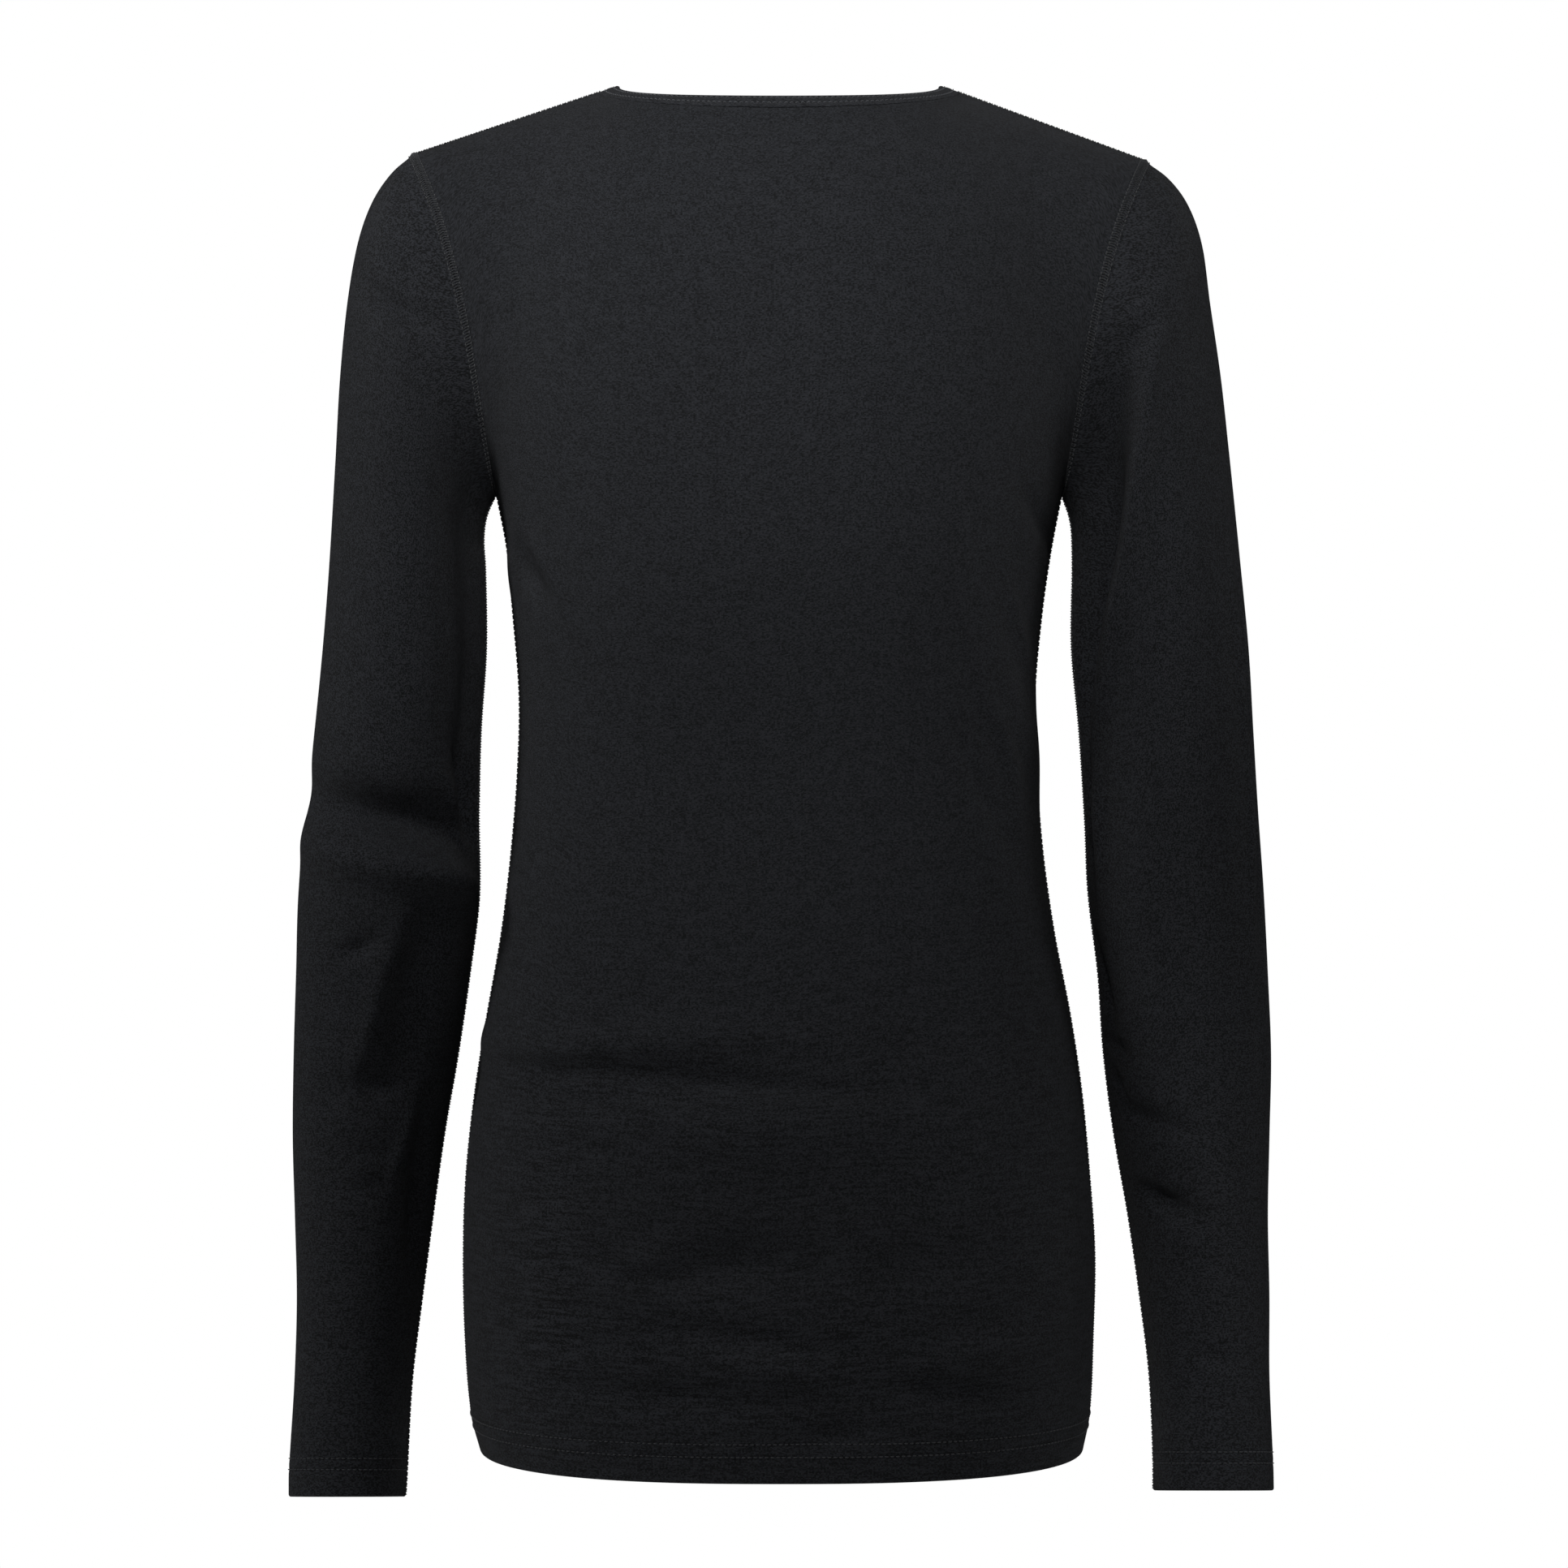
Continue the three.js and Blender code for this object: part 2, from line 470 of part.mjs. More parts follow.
// Neck binding: a narrow band that carries the body on past the neck seam to the open edge of the neck
function binding() {
  const { width, proud, wall, round } = BINDING;
  const profile = [
    { up: SEAM_GAP, out: proud },
    { up: width - round, out: proud },
    { up: width, out: proud - round },
    { up: width, out: proud - wall + round },
    { up: width - round, out: proud - wall },
    { up: SEAM_GAP, out: proud - wall },
  ];
  const quarter = NECK_COLUMNS;
  const stations = Array.from({ length: 4 * quarter }, (_, i) => (i / quarter) * RIGHT_ANGLE);
  const rings = profile.map(({ up, out }) =>
    stations.map((turn) => {
      const side = turn < Math.PI ? -1 : 1;
      const angle = side < 0 ? turn : 2 * Math.PI - turn;
      const lean = side < 0 ? NECK_LEAN.back : NECK_LEAN.front;
      const middle = Math.sin(angle) ** 2;
      const [run, fall] = [SHOULDER_TIP.x - NECK_SEAM.halfWidth, NECK_SEAM.sideZ - SHOULDER_TIP.leftZ];
      const slope = Math.hypot(run, fall);
      const inward = mix(run / slope, lean.inward, middle);
      const rise = mix(fall / slope, lean.up, middle);
      const radial = vector(Math.cos(angle), side * Math.sin(angle), 0);
      const upward = radial.clone().multiplyScalar(-inward).setZ(rise).normalize();
      const outward = radial.clone().multiplyScalar(rise).setZ(inward).normalize();
      return neckSeamPoint(side, angle).addScaledVector(upward, up).addScaledVector(outward, out);
    }),
  );
  return tubeGeometry(rings);
}

// A closed solid ring whose section is a polygon: each entry of rings is one corner carried round
function tubeGeometry(rings) {
  const count = rings[0].length;
  const positions = rings.flatMap((ring) => ring.flatMap((p) => [p.x, p.y, p.z]));
  const at = (corner, i) => (corner % rings.length) * count + (i % count);
  const index = [];
  for (let corner = 0; corner < rings.length; corner += 1) {
    for (let i = 0; i < count; i += 1) {
      const [a, b, c, d] = [at(corner, i), at(corner + 1, i), at(corner + 1, i + 1), at(corner, i + 1)];
      index.push(a, b, c, a, c, d);
    }
  }
  const geometry = new THREE.BufferGeometry();
  geometry.setAttribute("position", new THREE.Float32BufferAttribute(positions, 3));
  geometry.setIndex(index);
  geometry.computeVertexNormals();
  return geometry;
}

// Near-black wool jersey, a little duller on the binding, where the knit lies crosswise
const jersey = new THREE.MeshStandardMaterial({ color: 0x1b1c1e, roughness: 0.9, metalness: 0 });
const bindingJersey = new THREE.MeshStandardMaterial({ color: 0x1a1b1d, roughness: 0.92, metalness: 0 });

function named(name, geometry, material) {
  const mesh = new THREE.Mesh(geometry, material);
  mesh.name = name;
  return mesh;
}

const top = new THREE.Group();
top.add(
  named("back_panel", panel(-1, BACK_FOLDS), jersey),
  named("front_panel", panel(1, FRONT_FOLDS), jersey),
  named("sleeve_left", sleeve(-1, LEFT_SLEEVE_FOLDS), jersey),
  named("sleeve_right", sleeve(1, RIGHT_SLEEVE_FOLDS), jersey),
  named("neck_binding", binding(), bindingJersey),
);
export default top;
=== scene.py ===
import math

import bpy
import numpy as np
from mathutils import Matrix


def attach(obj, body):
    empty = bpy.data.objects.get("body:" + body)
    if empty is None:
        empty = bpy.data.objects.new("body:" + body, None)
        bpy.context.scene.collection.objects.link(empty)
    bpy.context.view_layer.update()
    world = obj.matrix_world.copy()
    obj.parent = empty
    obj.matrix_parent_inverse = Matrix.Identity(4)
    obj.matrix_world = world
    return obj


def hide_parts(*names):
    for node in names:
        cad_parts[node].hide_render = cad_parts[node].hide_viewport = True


# A woman's long-sleeved base layer top in thin black wool jersey, seen from behind and filled out as if worn.
# Sizes are in millimetres, and meshes are made in metres. The back of the top faces -Y, and left is the
# wearer's.
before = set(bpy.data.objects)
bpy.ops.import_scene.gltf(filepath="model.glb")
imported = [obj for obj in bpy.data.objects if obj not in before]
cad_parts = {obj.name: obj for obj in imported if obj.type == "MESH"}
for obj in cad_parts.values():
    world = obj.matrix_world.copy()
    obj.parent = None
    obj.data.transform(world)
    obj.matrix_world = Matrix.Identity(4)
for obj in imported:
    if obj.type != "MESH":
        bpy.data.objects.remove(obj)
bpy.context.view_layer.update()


# Back and front panels
# Two pieces of fine single jersey, their wales running up the body, sewn at the shoulders and sides. The
# lower edge is turned up once to the inside and held by two rows of stitching.
CLOTH_WALL = 1.2
HEM_WALL = 2.2
HEM_Z = -650
HEM_SIDE_RISE = 3.5  # the hem climbs this much towards the side seams
HEM_RISE_REACH = 150
HEM_ROWS = (12.4, 18.2)  # the two needle rows, measured up from the edge
TURN_UP = 19.2
UNDERARM = {"x": 134.2, "z": -193}
SHOULDER_TIP = {"x": 174, "left_z": -33, "right_z": -36}
NECK_SEAM = {
    "half_width": 84.5,
    "side_z": -3,
    "back": 67,
    "back_z": -18.3,
    "front": 72,
    "front_z": -84,
    "fall": 1.3,
}
NECK_LEAN = {"back": (0.77, 0.64, 120), "front": (0.5, 0.86, 90)}  # inward, up and pull
ARMHOLE = {"half_depth": 50, "bow": 7, "bow_lean": 0.5, "lean_low": 0.05, "lean_high": 0.35}
FULLNESS = {"back": 2.5, "front": 2.3}
NECK_SHARE = 0.6  # the neck seam takes this much of a panel's upper edge
ELLIPSE_PULL = 1.66
SHOULDER_PITCH = {"neck": 0.228, "tip": 0.05}  # how steeply the back climbs into the shoulder seam
ROW_SAG = 2
ARMHOLE_REACH = 2.4
SEAM_STEPS = (0, 1, 2.1, 3.2, 4.6, 6.6)  # points lie closer beside a seam, at these distances from it
NEEDLE_STEP = 2  # the place in SEAM_STEPS of the needle rows
HEM_STEPS = (0, 0.2, 0.6, 1.2, 2.4, 5, 8, 10.8, 11.8, 12.4, 13, 13.8, 15.4, 17.4, 18.2, 19, 20, 21, 22.2)
LOWER_ROWS = 156
UPPER_ROWS = 66
SHOULDER_COLUMNS = 30
NECK_COLUMNS = 96
FINE_POINTS = {"shoulder": 240, "neck": 481, "climb": 241}  # sampled before the points are respaced
SEAM_RIDGE = 0.45  # the cloth edges lie over each other along a seam
SEAM_FADE = (1.8, 3.6)  # the ridge ends between these distances from the seam
NEEDLE_PULL = 0.25
SEAM_NEEDLE_REACH = 0.55
HEM_NEEDLE_REACH = 0.7
HEM_RIDGE = 0.12  # the cloth stands out this much where it is doubled
# Softening comes in between these distances from a side seam and the upper edge, and between these heights
SOFTEN = {"from_side": (7, 20), "from_top": (3, 10), "z": (-250, -190), "rounds": 120}
FOLD_FADE = 14  # folds die away towards a side seam over this distance
# Fine ripples are drawn in the bump of the cloth and also as painted shade: level streaks in its colour.
RIPPLE_Z = (-330, -500)  # fine level ripples come in between these heights, and are strongest below
RIPPLE_LEAST = 0.4  # how much the cloth ripples all over, below those heights


def table(columns, *rows):
    """A short table, read by the names of its columns."""
    return dict(zip(columns.split(), np.array(rows, float).T))


BODY_SECTIONS = table(
    "z half lean back front",
    (-650, 142.6, 1.2, 112, 99),
    (-632, 146.6, 0.6, 114, 100),
    (-596, 148.8, 0, 116, 102),
    (-557, 149.6, 0, 117, 104),
    (-519, 147.8, -0.6, 115, 104),
    (-480, 144, -0.4, 109, 101),
    (-442, 138.2, -0.2, 99, 96),
    (-403, 131, -0.6, 89, 92),
    (-365, 126, -1, 83, 92),
    (-326, 122.9, -1, 83, 97),
    (-290, 122.1, -1, 89, 104),
    (-250, 125.4, -0.8, 98, 111),
    (-220, 129, 0, 104, 113),
    (-193, 134.2, 0, 106, 110),
)

# Folds: where the middle lies, the turn from level in degrees, the reach along and across, and the depth out
# of the cloth. A depth below 0 is a trough.
BACK_FOLDS = table(
    "x z turn along across depth",
    # the widest crease, level across the top of the seat
    (-106, -464, 0, 13, 4.2, -3.2),
    (-80, -463, 0, 34, 4.2, -3.8),
    (-30, -467, -3, 42, 4.2, -3),
    (28, -472, -2, 34, 4.2, -2.2),
    (-62, -471, 2, 70, 11, -4.8),
    (-60, -449, 2, 76, 8, 3.6),
    # soft lumps and hollows across the seat
    (-6, -490, -4, 58, 19, 5.4),
    (-26, -548, -5, 42, 14, -7.4),
    (-62, -556, -4, 26, 4, -2.8),
    (-22, -583, -9, 50, 6, -3),
    (0, -598, -6, 26, 9, 4.8),
    (-50, -611, -4, 34, 7, -5.2),
    (84, -610, -7, 32, 7, -4.8),
    (92, -592, 12, 28, 8, 3),
    (64, -552, 8, 30, 12, -2.4),
    (-52, -545, 12, 28, 10, 4),
    (22, -628, 6, 22, 6, -2.7),
    # ripples to the left below the widest crease
    (-96, -453, 2, 26, 3, 1.3),
    (-104, -478, 4, 20, 3.2, -1.7),
    (-98, -498, -3, 24, 3.4, -2),
    (-112, -521, 5, 18, 3.2, -1.7),
    (-92, -548, 2, 26, 3.6, -2),
    (-108, -572, -4, 19, 3.4, -1.7),
    (-82, -586, 3, 22, 3.6, -1.6),
    (-100, -606, -2, 20, 3.4, -1.3),
    # lines at the right side, below the shoulder blade
    (112, -262, -76, 24, 3.2, 2.2),
    (102, -308, -70, 36, 3.2, 2.3),
    (94, -334, -64, 30, 4, -1.8),
    (110, -340, -78, 26, 3.4, 1.6),
    (108, -295, -68, 46, 10, 3.4),
    # drag under the arms, and a hollow between the shoulder blades
    (-115, -236, -63, 18, 4.5, -2.9),
    (-109, -229, -63, 16, 3.4, 1.6),
    (-124, -222, 82, 20, 4, 1.8),
    (122, -210, -60, 18, 4.5, -2.3),
    (0, -96, 90, 50, 26, -2.4),
)
# Where the cloth ripples more, and its colour takes more painted shade of the ripples: the middle, the reach
# each way, and how much comes on top
RIPPLED_PLACES = table(
    "x z wide tall most",
    (-106, -560, 16, 62, 1),
    (-60, -470, 50, 20, 0.3),
    (-20, -600, 60, 26, 0.4),
    (70, -590, 40, 30, 0.2),
)
FRONT_FOLDS = table(
    "x z turn along across depth",
    (58, -372, 8, 54, 12, -4.2),
    (-66, -396, -7, 50, 12, -4.2),
    (20, -470, -4, 64, 14, -4.2),
    (0, -448, -3, 70, 10, 2.5),
    (92, -458, 3, 28, 3.6, -2.2),
    (40, -463, -3, 34, 3.6, -1.6),
    (-90, -500, 4, 24, 3.6, -1.6),
    (84, -536, -4, 26, 3.8, -1.6),
    (-20, -566, 8, 32, 9, -3.4),
    (52, -600, -10, 28, 8, -3.4),
    (-104, -232, 62, 26, 4.5, -2.4),
    (104, -226, -64, 28, 4.5, -2.4),
    (96, -252, -50, 22, 4, -1.6),
)


def lerp(start, end, share):
    return start + (end - start) * share


def unit(vectors):
    return vectors / np.maximum(np.linalg.norm(vectors, axis=-1, keepdims=True), 1e-9)


def smoothstep(value, low, high):
    share = np.clip((value - low) / (high - low), 0, 1)
    return share * share * (3 - 2 * share)


def point(x, y, z):
    return np.stack(np.broadcast_arrays(x, y, z), axis=-1).astype(float)


def run_of(grid, axis):
    """How far each point lies from the first one along its row (axis 1) or its column (axis 0)."""
    steps = np.linalg.norm(np.diff(grid[..., :3], axis=axis), axis=2)
    return np.concatenate([np.zeros_like(steps.take([0], axis)), np.cumsum(steps, axis)], axis)


def through(rows, along, key, at):
    """A smooth curve through one column of a table, read at each value of at."""
    places, values = rows[along], rows[key]
    slopes = np.empty_like(values)
    slopes[1:-1] = (values[2:] - values[:-2]) / (places[2:] - places[:-2])
    slopes[0] = (values[1] - values[0]) / (places[1] - places[0])
    slopes[-1] = (values[-1] - values[-2]) / (places[-1] - places[-2])
    low = np.clip(np.searchsorted(places, at, side="right") - 1, 0, len(places) - 2)
    step = places[low + 1] - places[low]
    t = (at - places[low]) / step
    start = 2 * t**3 - 3 * t**2 + 1
    leave = (t**3 - 2 * t**2 + t) * step * slopes[low]
    arrive = (t**3 - t**2) * step * slopes[low + 1]
    return start * values[low] + (1 - start) * values[low + 1] + leave + arrive


def fold_lift(folds, away_from, up):
    """How far the folds lift the cloth. away_from gives each point's sideways distance from a fold."""
    lift = np.zeros(np.shape(up))
    for row in zip(*folds.values()):
        fold = dict(zip(folds, row))
        turn = math.radians(fold["turn"])
        side, rise = away_from(fold), up - fold["z"]
        along = side * math.cos(turn) + rise * math.sin(turn)
        crossing = rise * math.cos(turn) - side * math.sin(turn)
        lift += fold["depth"] * np.exp(-((along / fold["along"]) ** 2) - (crossing / fold["across"]) ** 2)
    return lift


def tip_z(hand):
    return np.where(np.asarray(hand) < 0, SHOULDER_TIP["left_z"], SHOULDER_TIP["right_z"])


def body_point(side, across, z):
    """A point of the body below the underarm. across is -1 at the left side seam and 1 at the right one."""
    name = "back" if side < 0 else "front"
    power = 2 / FULLNESS[name]
    angle = (1 - np.abs(across)) * math.pi / 2
    half = through(BODY_SECTIONS, "z", "half", z)
    sideways = np.sign(across) * np.clip(np.cos(angle), 0, 1) ** power
    x = through(BODY_SECTIONS, "z", "lean", z) + half * sideways
    y = side * through(BODY_SECTIONS, "z", name, z) * np.clip(np.sin(angle), 0, 1) ** power
    return point(x, y, z + HEM_SIDE_RISE * across**2 * np.maximum(0, 1 - (z - HEM_Z) / HEM_RISE_REACH))


def neck_seam_point(side, angle):
    """The neck seam. angle is 0 at the wearer's right, 90 degrees at the centre and 180 at the left."""
    drop = np.clip(np.sin(angle), 0, 1)
    name = "back" if side < 0 else "front"
    z = lerp(NECK_SEAM["side_z"], NECK_SEAM[name + "_z"], drop if side < 0 else drop ** NECK_SEAM["fall"])
    return point(NECK_SEAM["half_width"] * np.cos(angle), side * NECK_SEAM[name] * drop, z)


def upper_edge(side, across):
    """The neck seam in the middle of a panel's upper edge, and a shoulder seam on each side of it."""
    out, hand = np.abs(across), np.where(across < 0, -1, 1)
    neck = neck_seam_point(side, (1 - np.minimum(out / NECK_SHARE, 1)) * math.pi / 2)
    neck[..., 0] *= hand
    share = np.maximum((out - NECK_SHARE) / (1 - NECK_SHARE), 0)
    x = hand * lerp(NECK_SEAM["half_width"], SHOULDER_TIP["x"], share)
    shoulder = point(x, 0, lerp(NECK_SEAM["side_z"], tip_z(hand), share))
    return np.where((out <= NECK_SHARE)[..., None], neck, shoulder)


def armhole_point(hand, side, angle):
    """The armhole seam. angle is 0 at the shoulder tip and 180 degrees at the underarm."""
    height = np.cos(angle)
    bow = ARMHOLE["bow"] * (1 - height**2) * (1 + ARMHOLE["bow_lean"] * height)
    share = (1 + height) / 2
    x = hand * (lerp(UNDERARM["x"], SHOULDER_TIP["x"], share) - bow)
    return point(x, side * ARMHOLE["half_depth"] * np.sin(angle), lerp(UNDERARM["z"], tip_z(hand), share))


def armhole_outward(hand, side, angle):
    """The direction out of the cloth that body and sleeve share along the armhole seam."""
    run, climb = SHOULDER_TIP["x"] - UNDERARM["x"], tip_z(hand) - UNDERARM["z"]
    spine = unit(point(hand * run, 0, climb))
    lateral = unit(point(hand * climb, 0, -run))
    height = np.cos(angle)[..., None]
    lean = lerp(ARMHOLE["lean_low"], ARMHOLE["lean_high"], (1 + height) / 2)
    return unit(point(0, side * np.sin(angle), 0) + spine * height + lateral * lean)


def upper_point(side, across, climb):
    """A point of a panel above the underarm. climb is 0 at the underarm and 1 at the upper edge."""
    name = "back" if side < 0 else "front"
    inward, up, pull = NECK_LEAN[name]

    def column(place, share):
        start = body_point(side, place, np.full(place.shape, float(UNDERARM["z"])))
        below = body_point(side, place, np.full(place.shape, UNDERARM["z"] - 1.0))
        end = upper_edge(side, place)
        leave = (start - below) * (ELLIPSE_PULL * (end - start)[..., 2:])
        ridge = smoothstep(np.abs(place), 0, NECK_SHARE)[..., None]
        to_tip = np.clip((np.abs(place) - NECK_SHARE) / (1 - NECK_SHARE), 0, 1)
        pitch = lerp(SHOULDER_PITCH["neck"], SHOULDER_PITCH["tip"], to_tip)
        at_shoulder = point(0, -side, pitch) * ELLIPSE_PULL * np.abs((start - end)[..., 1:2])
        at_neck = np.array([0, -side * inward, up]) * pull
        t = share[..., None]
        first = 2 * t**3 - 3 * t**2 + 1
        bend = (t**3 - 2 * t**2 + t) * leave + (t**3 - t**2) * lerp(at_neck, at_shoulder, ridge)
        return start * first + end * (1 - first) + bend

    across, climb = np.broadcast_arrays(across, climb)
    hand, out = np.where(across < 0, -1.0, 1.0), np.abs(across)
    depth = ARMHOLE["half_depth"] * np.clip(np.sin(math.pi * climb), 0, 1)
    reach = 1 - np.arcsin((depth / BODY_SECTIONS[name][-1]) ** (FULLNESS[name] / 2)) / (math.pi / 2)
    edge_rise = np.arcsin(np.clip((1 - np.cos(math.pi * climb)) / 2, 0, 1)) / (math.pi / 2)
    to_armhole = armhole_point(hand, side, math.pi * (1 - climb)) - column(hand * reach, edge_rise)
    rise = lerp(climb, edge_rise, out**ROW_SAG)
    return column(across * reach, rise) + to_armhole * out[..., None] ** ARMHOLE_REACH


def respace(lines, starts, ends, count):
    """The same lines with new points: at the given distances from each end, and count even steps between."""
    run = run_of(lines, 1)
    new = np.empty((len(lines), len(starts) + count - 1 + len(ends), lines.shape[2]))
    for line, length, target in zip(lines, run, new):
        even = np.linspace(starts[-1], length[-1] - ends[-1], count + 1)[1:-1]
        places = np.concatenate([starts, even, length[-1] - np.array(ends)[::-1]])
        for k in range(lines.shape[2]):
            target[:, k] = np.interp(places, length, line[:, k])
    return new


def across_grid(sample):
    """A grid of a panel with its points spread evenly over each stretch between the seams and the neck."""
    left = sample(np.linspace(-1, -NECK_SHARE, FINE_POINTS["shoulder"]))
    middle = sample(np.linspace(-NECK_SHARE, NECK_SHARE, FINE_POINTS["neck"]))
    right = sample(np.linspace(NECK_SHARE, 1, FINE_POINTS["shoulder"]))
    left = respace(left, SEAM_STEPS, (0,), SHOULDER_COLUMNS)
    middle = respace(middle, (0,), (0,), NECK_COLUMNS)
    right = respace(right, (0,), SEAM_STEPS, SHOULDER_COLUMNS)
    return np.concatenate([left, middle[:, 1:-1], right], axis=1)


def soften(grid, amount, rounds):
    """Takes sharp bends out of a grid and keeps its broad form. amount is from 0, kept as it is, to 1."""
    inside = grid[1:-1, 1:-1]
    for _ in range(rounds):
        mean = (grid[:-2, 1:-1] + grid[2:, 1:-1] + grid[1:-1, :-2] + grid[1:-1, 2:]) / 4
        inside += (mean - inside) * amount[1:-1, 1:-1, None] / 2


def directions_of(grid, flip):
    return unit(np.cross(np.gradient(grid, axis=1), np.gradient(grid, axis=0))) * flip


def seam_lift(distance):
    """The ridge along a seam, and the line that the needle thread presses into it."""
    ridge = SEAM_RIDGE * (1 - smoothstep(distance, *SEAM_FADE))
    return ridge - NEEDLE_PULL * np.exp(-(((distance - SEAM_STEPS[NEEDLE_STEP]) / SEAM_NEEDLE_REACH) ** 2))


def hem_lift(distance, rows):
    """The doubled cloth of a hem or cuff: pressed in along the needle rows, and thinner above the turn-up."""
    lift = HEM_RIDGE * (1 - smoothstep(distance, TURN_UP - 2, TURN_UP + 3))
    for row in rows:
        lift -= NEEDLE_PULL * np.exp(-(((distance - row) / HEM_NEEDLE_REACH) ** 2))
    return lift


def both_faces(top, directions, from_edge):
    """The outer and the inner face of the cloth. At its free edge the cloth is folded round."""
    wall = lerp(HEM_WALL, CLOTH_WALL, smoothstep(from_edge, TURN_UP, TURN_UP + 2))
    fold = np.sqrt(1 - (1 - np.clip(from_edge / (HEM_WALL / 2), 0.02, 1)) ** 2)
    middle = top - directions * (wall / 2)[..., None]
    half = directions * (wall / 2 * fold)[..., None]
    return middle + half, middle - half


def panel(side, folds):
    """The two faces of a panel and its directions outwards, from the hem up and from left to right."""
    even = np.linspace(HEM_Z + HEM_STEPS[-1], UNDERARM["z"], LOWER_ROWS + 1)[1:]
    heights = np.concatenate([HEM_Z + np.array(HEM_STEPS), even])
    lower = across_grid(lambda across: body_point(side, across[None, :], heights[:, None]))
    climbs = np.linspace(0, 1, FINE_POINTS["climb"])
    upper = across_grid(lambda across: upper_point(side, across[None, :], climbs[:, None]))
    upper = respace(upper.swapaxes(0, 1), (0,), SEAM_STEPS, UPPER_ROWS).swapaxes(0, 1)
    base = np.concatenate([lower, upper[1:]])
    run, rise = run_of(base, 1), run_of(base, 0)
    from_side = np.minimum(run, run[:, -1:] - run)
    away = smoothstep(from_side, *SOFTEN["from_side"]) * smoothstep(rise[-1] - rise, *SOFTEN["from_top"])
    soften(base, away * smoothstep(base[..., 2], *SOFTEN["z"]), SOFTEN["rounds"])

    directions = directions_of(base, -side)
    shoulder = np.abs(base[-1, :, 0]) >= NECK_SEAM["half_width"] - 0.01
    for edge in (directions[:, 0], directions[:, -1], directions[-1, shoulder]):
        edge[:, 1] = 0
    directions[-1, shoulder] = unit(directions[-1, shoulder])
    for column, hand in ((0, -1), (-1, 1)):
        rows = slice(len(heights) - 1, None)
        share = (base[rows, column, 2] - UNDERARM["z"]) / (tip_z(hand) - UNDERARM["z"])
        directions[:, column] = unit(directions[:, column])
        directions[rows, column] = armhole_outward(hand, side, np.arccos(np.clip(2 * share - 1, -1, 1)))

    from_shoulder = np.where(shoulder, rise[-1] - rise, np.inf)
    from_hem = np.broadcast_to(np.append(heights, np.full(len(upper) - 1, 0.0))[:, None] - HEM_Z, run.shape)
    lift = fold_lift(folds, lambda fold: base[..., 0] - fold["x"], base[..., 2])
    lift *= smoothstep(from_side, 0, FOLD_FADE)
    lift += seam_lift(np.minimum(from_side, from_shoulder)) + hem_lift(from_hem, HEM_ROWS)
    outer, inner = both_faces(base + directions * lift[..., None], directions, from_hem)
    return outer, inner, directions, rippling(base, side)


def rippling(base, side):
    """How strongly the cloth ripples, from 0 to 1: all over the seat, and most where a side is drawn in.
    It sets the bump of the ripples and how strongly their shade is painted into the colour as streaks.
    """
    amount = RIPPLE_LEAST * smoothstep(-base[..., 2], -RIPPLE_Z[0], -RIPPLE_Z[1])
    for row in zip(*RIPPLED_PLACES.values()):
        x, z, wide, tall, most = row
        beside, above = base[..., 0] * -side - x, base[..., 2] - z
        amount += most * np.exp(-((beside / wide) ** 2) - (above / tall) ** 2)
    return amount


def cloth_places(grid, hem_row, ripples):
    """Where each point lies in the flat cloth: across from the middle column and along from the hem or cuff.
    The third value is how much the cloth ripples there, which also sets the painted shade of the ripples in
    the colour."""
    across, along = run_of(grid, 1), run_of(grid, 0)
    across -= across[:, grid.shape[1] // 2][:, None]
    return point(across, along - along[hem_row], ripples)


def mesh_piece(name, vertices, faces, material, cloth=None):
    """A smooth mesh in metres that rides on the top. cloth gives each point's place in the flat cloth."""
    mesh = bpy.data.meshes.new(name)
    mesh.vertices.add(len(vertices))
    mesh.vertices.foreach_set("co", (np.asarray(vertices) / 1000).ravel())
    mesh.loops.add(faces.size)
    mesh.loops.foreach_set("vertex_index", faces.astype(np.int32).ravel())
    mesh.polygons.add(len(faces))
    mesh.polygons.foreach_set("loop_start", np.arange(0, faces.size, 4, dtype=np.int32))
    mesh.polygons.foreach_set("use_smooth", np.ones(len(faces), bool))
    if cloth is not None:
        mesh.attributes.new("cloth", "FLOAT_VECTOR", "POINT").data.foreach_set("vector", cloth.ravel())
    mesh.update(calc_edges=True)
    mesh.validate()
    mesh.materials.append(material)
    piece = bpy.data.objects.new(name, mesh)
    bpy.context.scene.collection.objects.link(piece)
    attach(piece, "root")
    return piece


def grid_faces(numbers):
    """Faces of four corners between the rows and columns of a grid of point numbers."""
    corners = (numbers[:-1, :-1], numbers[:-1, 1:], numbers[1:, 1:], numbers[1:, :-1])
    return np.stack(corners, axis=-1).reshape(-1, 4)


def cloth_piece(name, outer, inner, hem_row, ripples, flip, material):
    """A cut piece with both its faces, closed along all four edges."""
    numbers = np.arange(outer.shape[0] * outer.shape[1]).reshape(outer.shape[:2])
    other = numbers + numbers.size
    faces = [grid_faces(numbers), grid_faces(other)[:, ::-1]]
    faces += [grid_faces(np.stack([other[0], numbers[0]])), grid_faces(np.stack([numbers[-1], other[-1]]))]
    faces += [grid_faces(np.stack([other[:, 0], numbers[:, 0]], axis=1))]
    faces += [grid_faces(np.stack([numbers[:, -1], other[:, -1]], axis=1))]
    faces = np.concatenate(faces)
    if flip < 0:
        faces = faces[:, ::-1]
    cloth = cloth_places(outer, hem_row, ripples).reshape(-1, 3)
    vertices = np.concatenate([outer.reshape(-1, 3), inner.reshape(-1, 3)])
    return mesh_piece(name, vertices, faces, material, np.concatenate([cloth, cloth]))


def rgb(hex_color):
    """A colour as the eye reads it, such as #1b1c1e, turned into the linear values that a shader takes."""
    parts = [int(hex_color[i : i + 2], 16) / 255 for i in (1, 3, 5)]
    return [part / 12.92 if part <= 0.04045 else ((part + 0.055) / 1.055) ** 2.4 for part in parts] + [1]


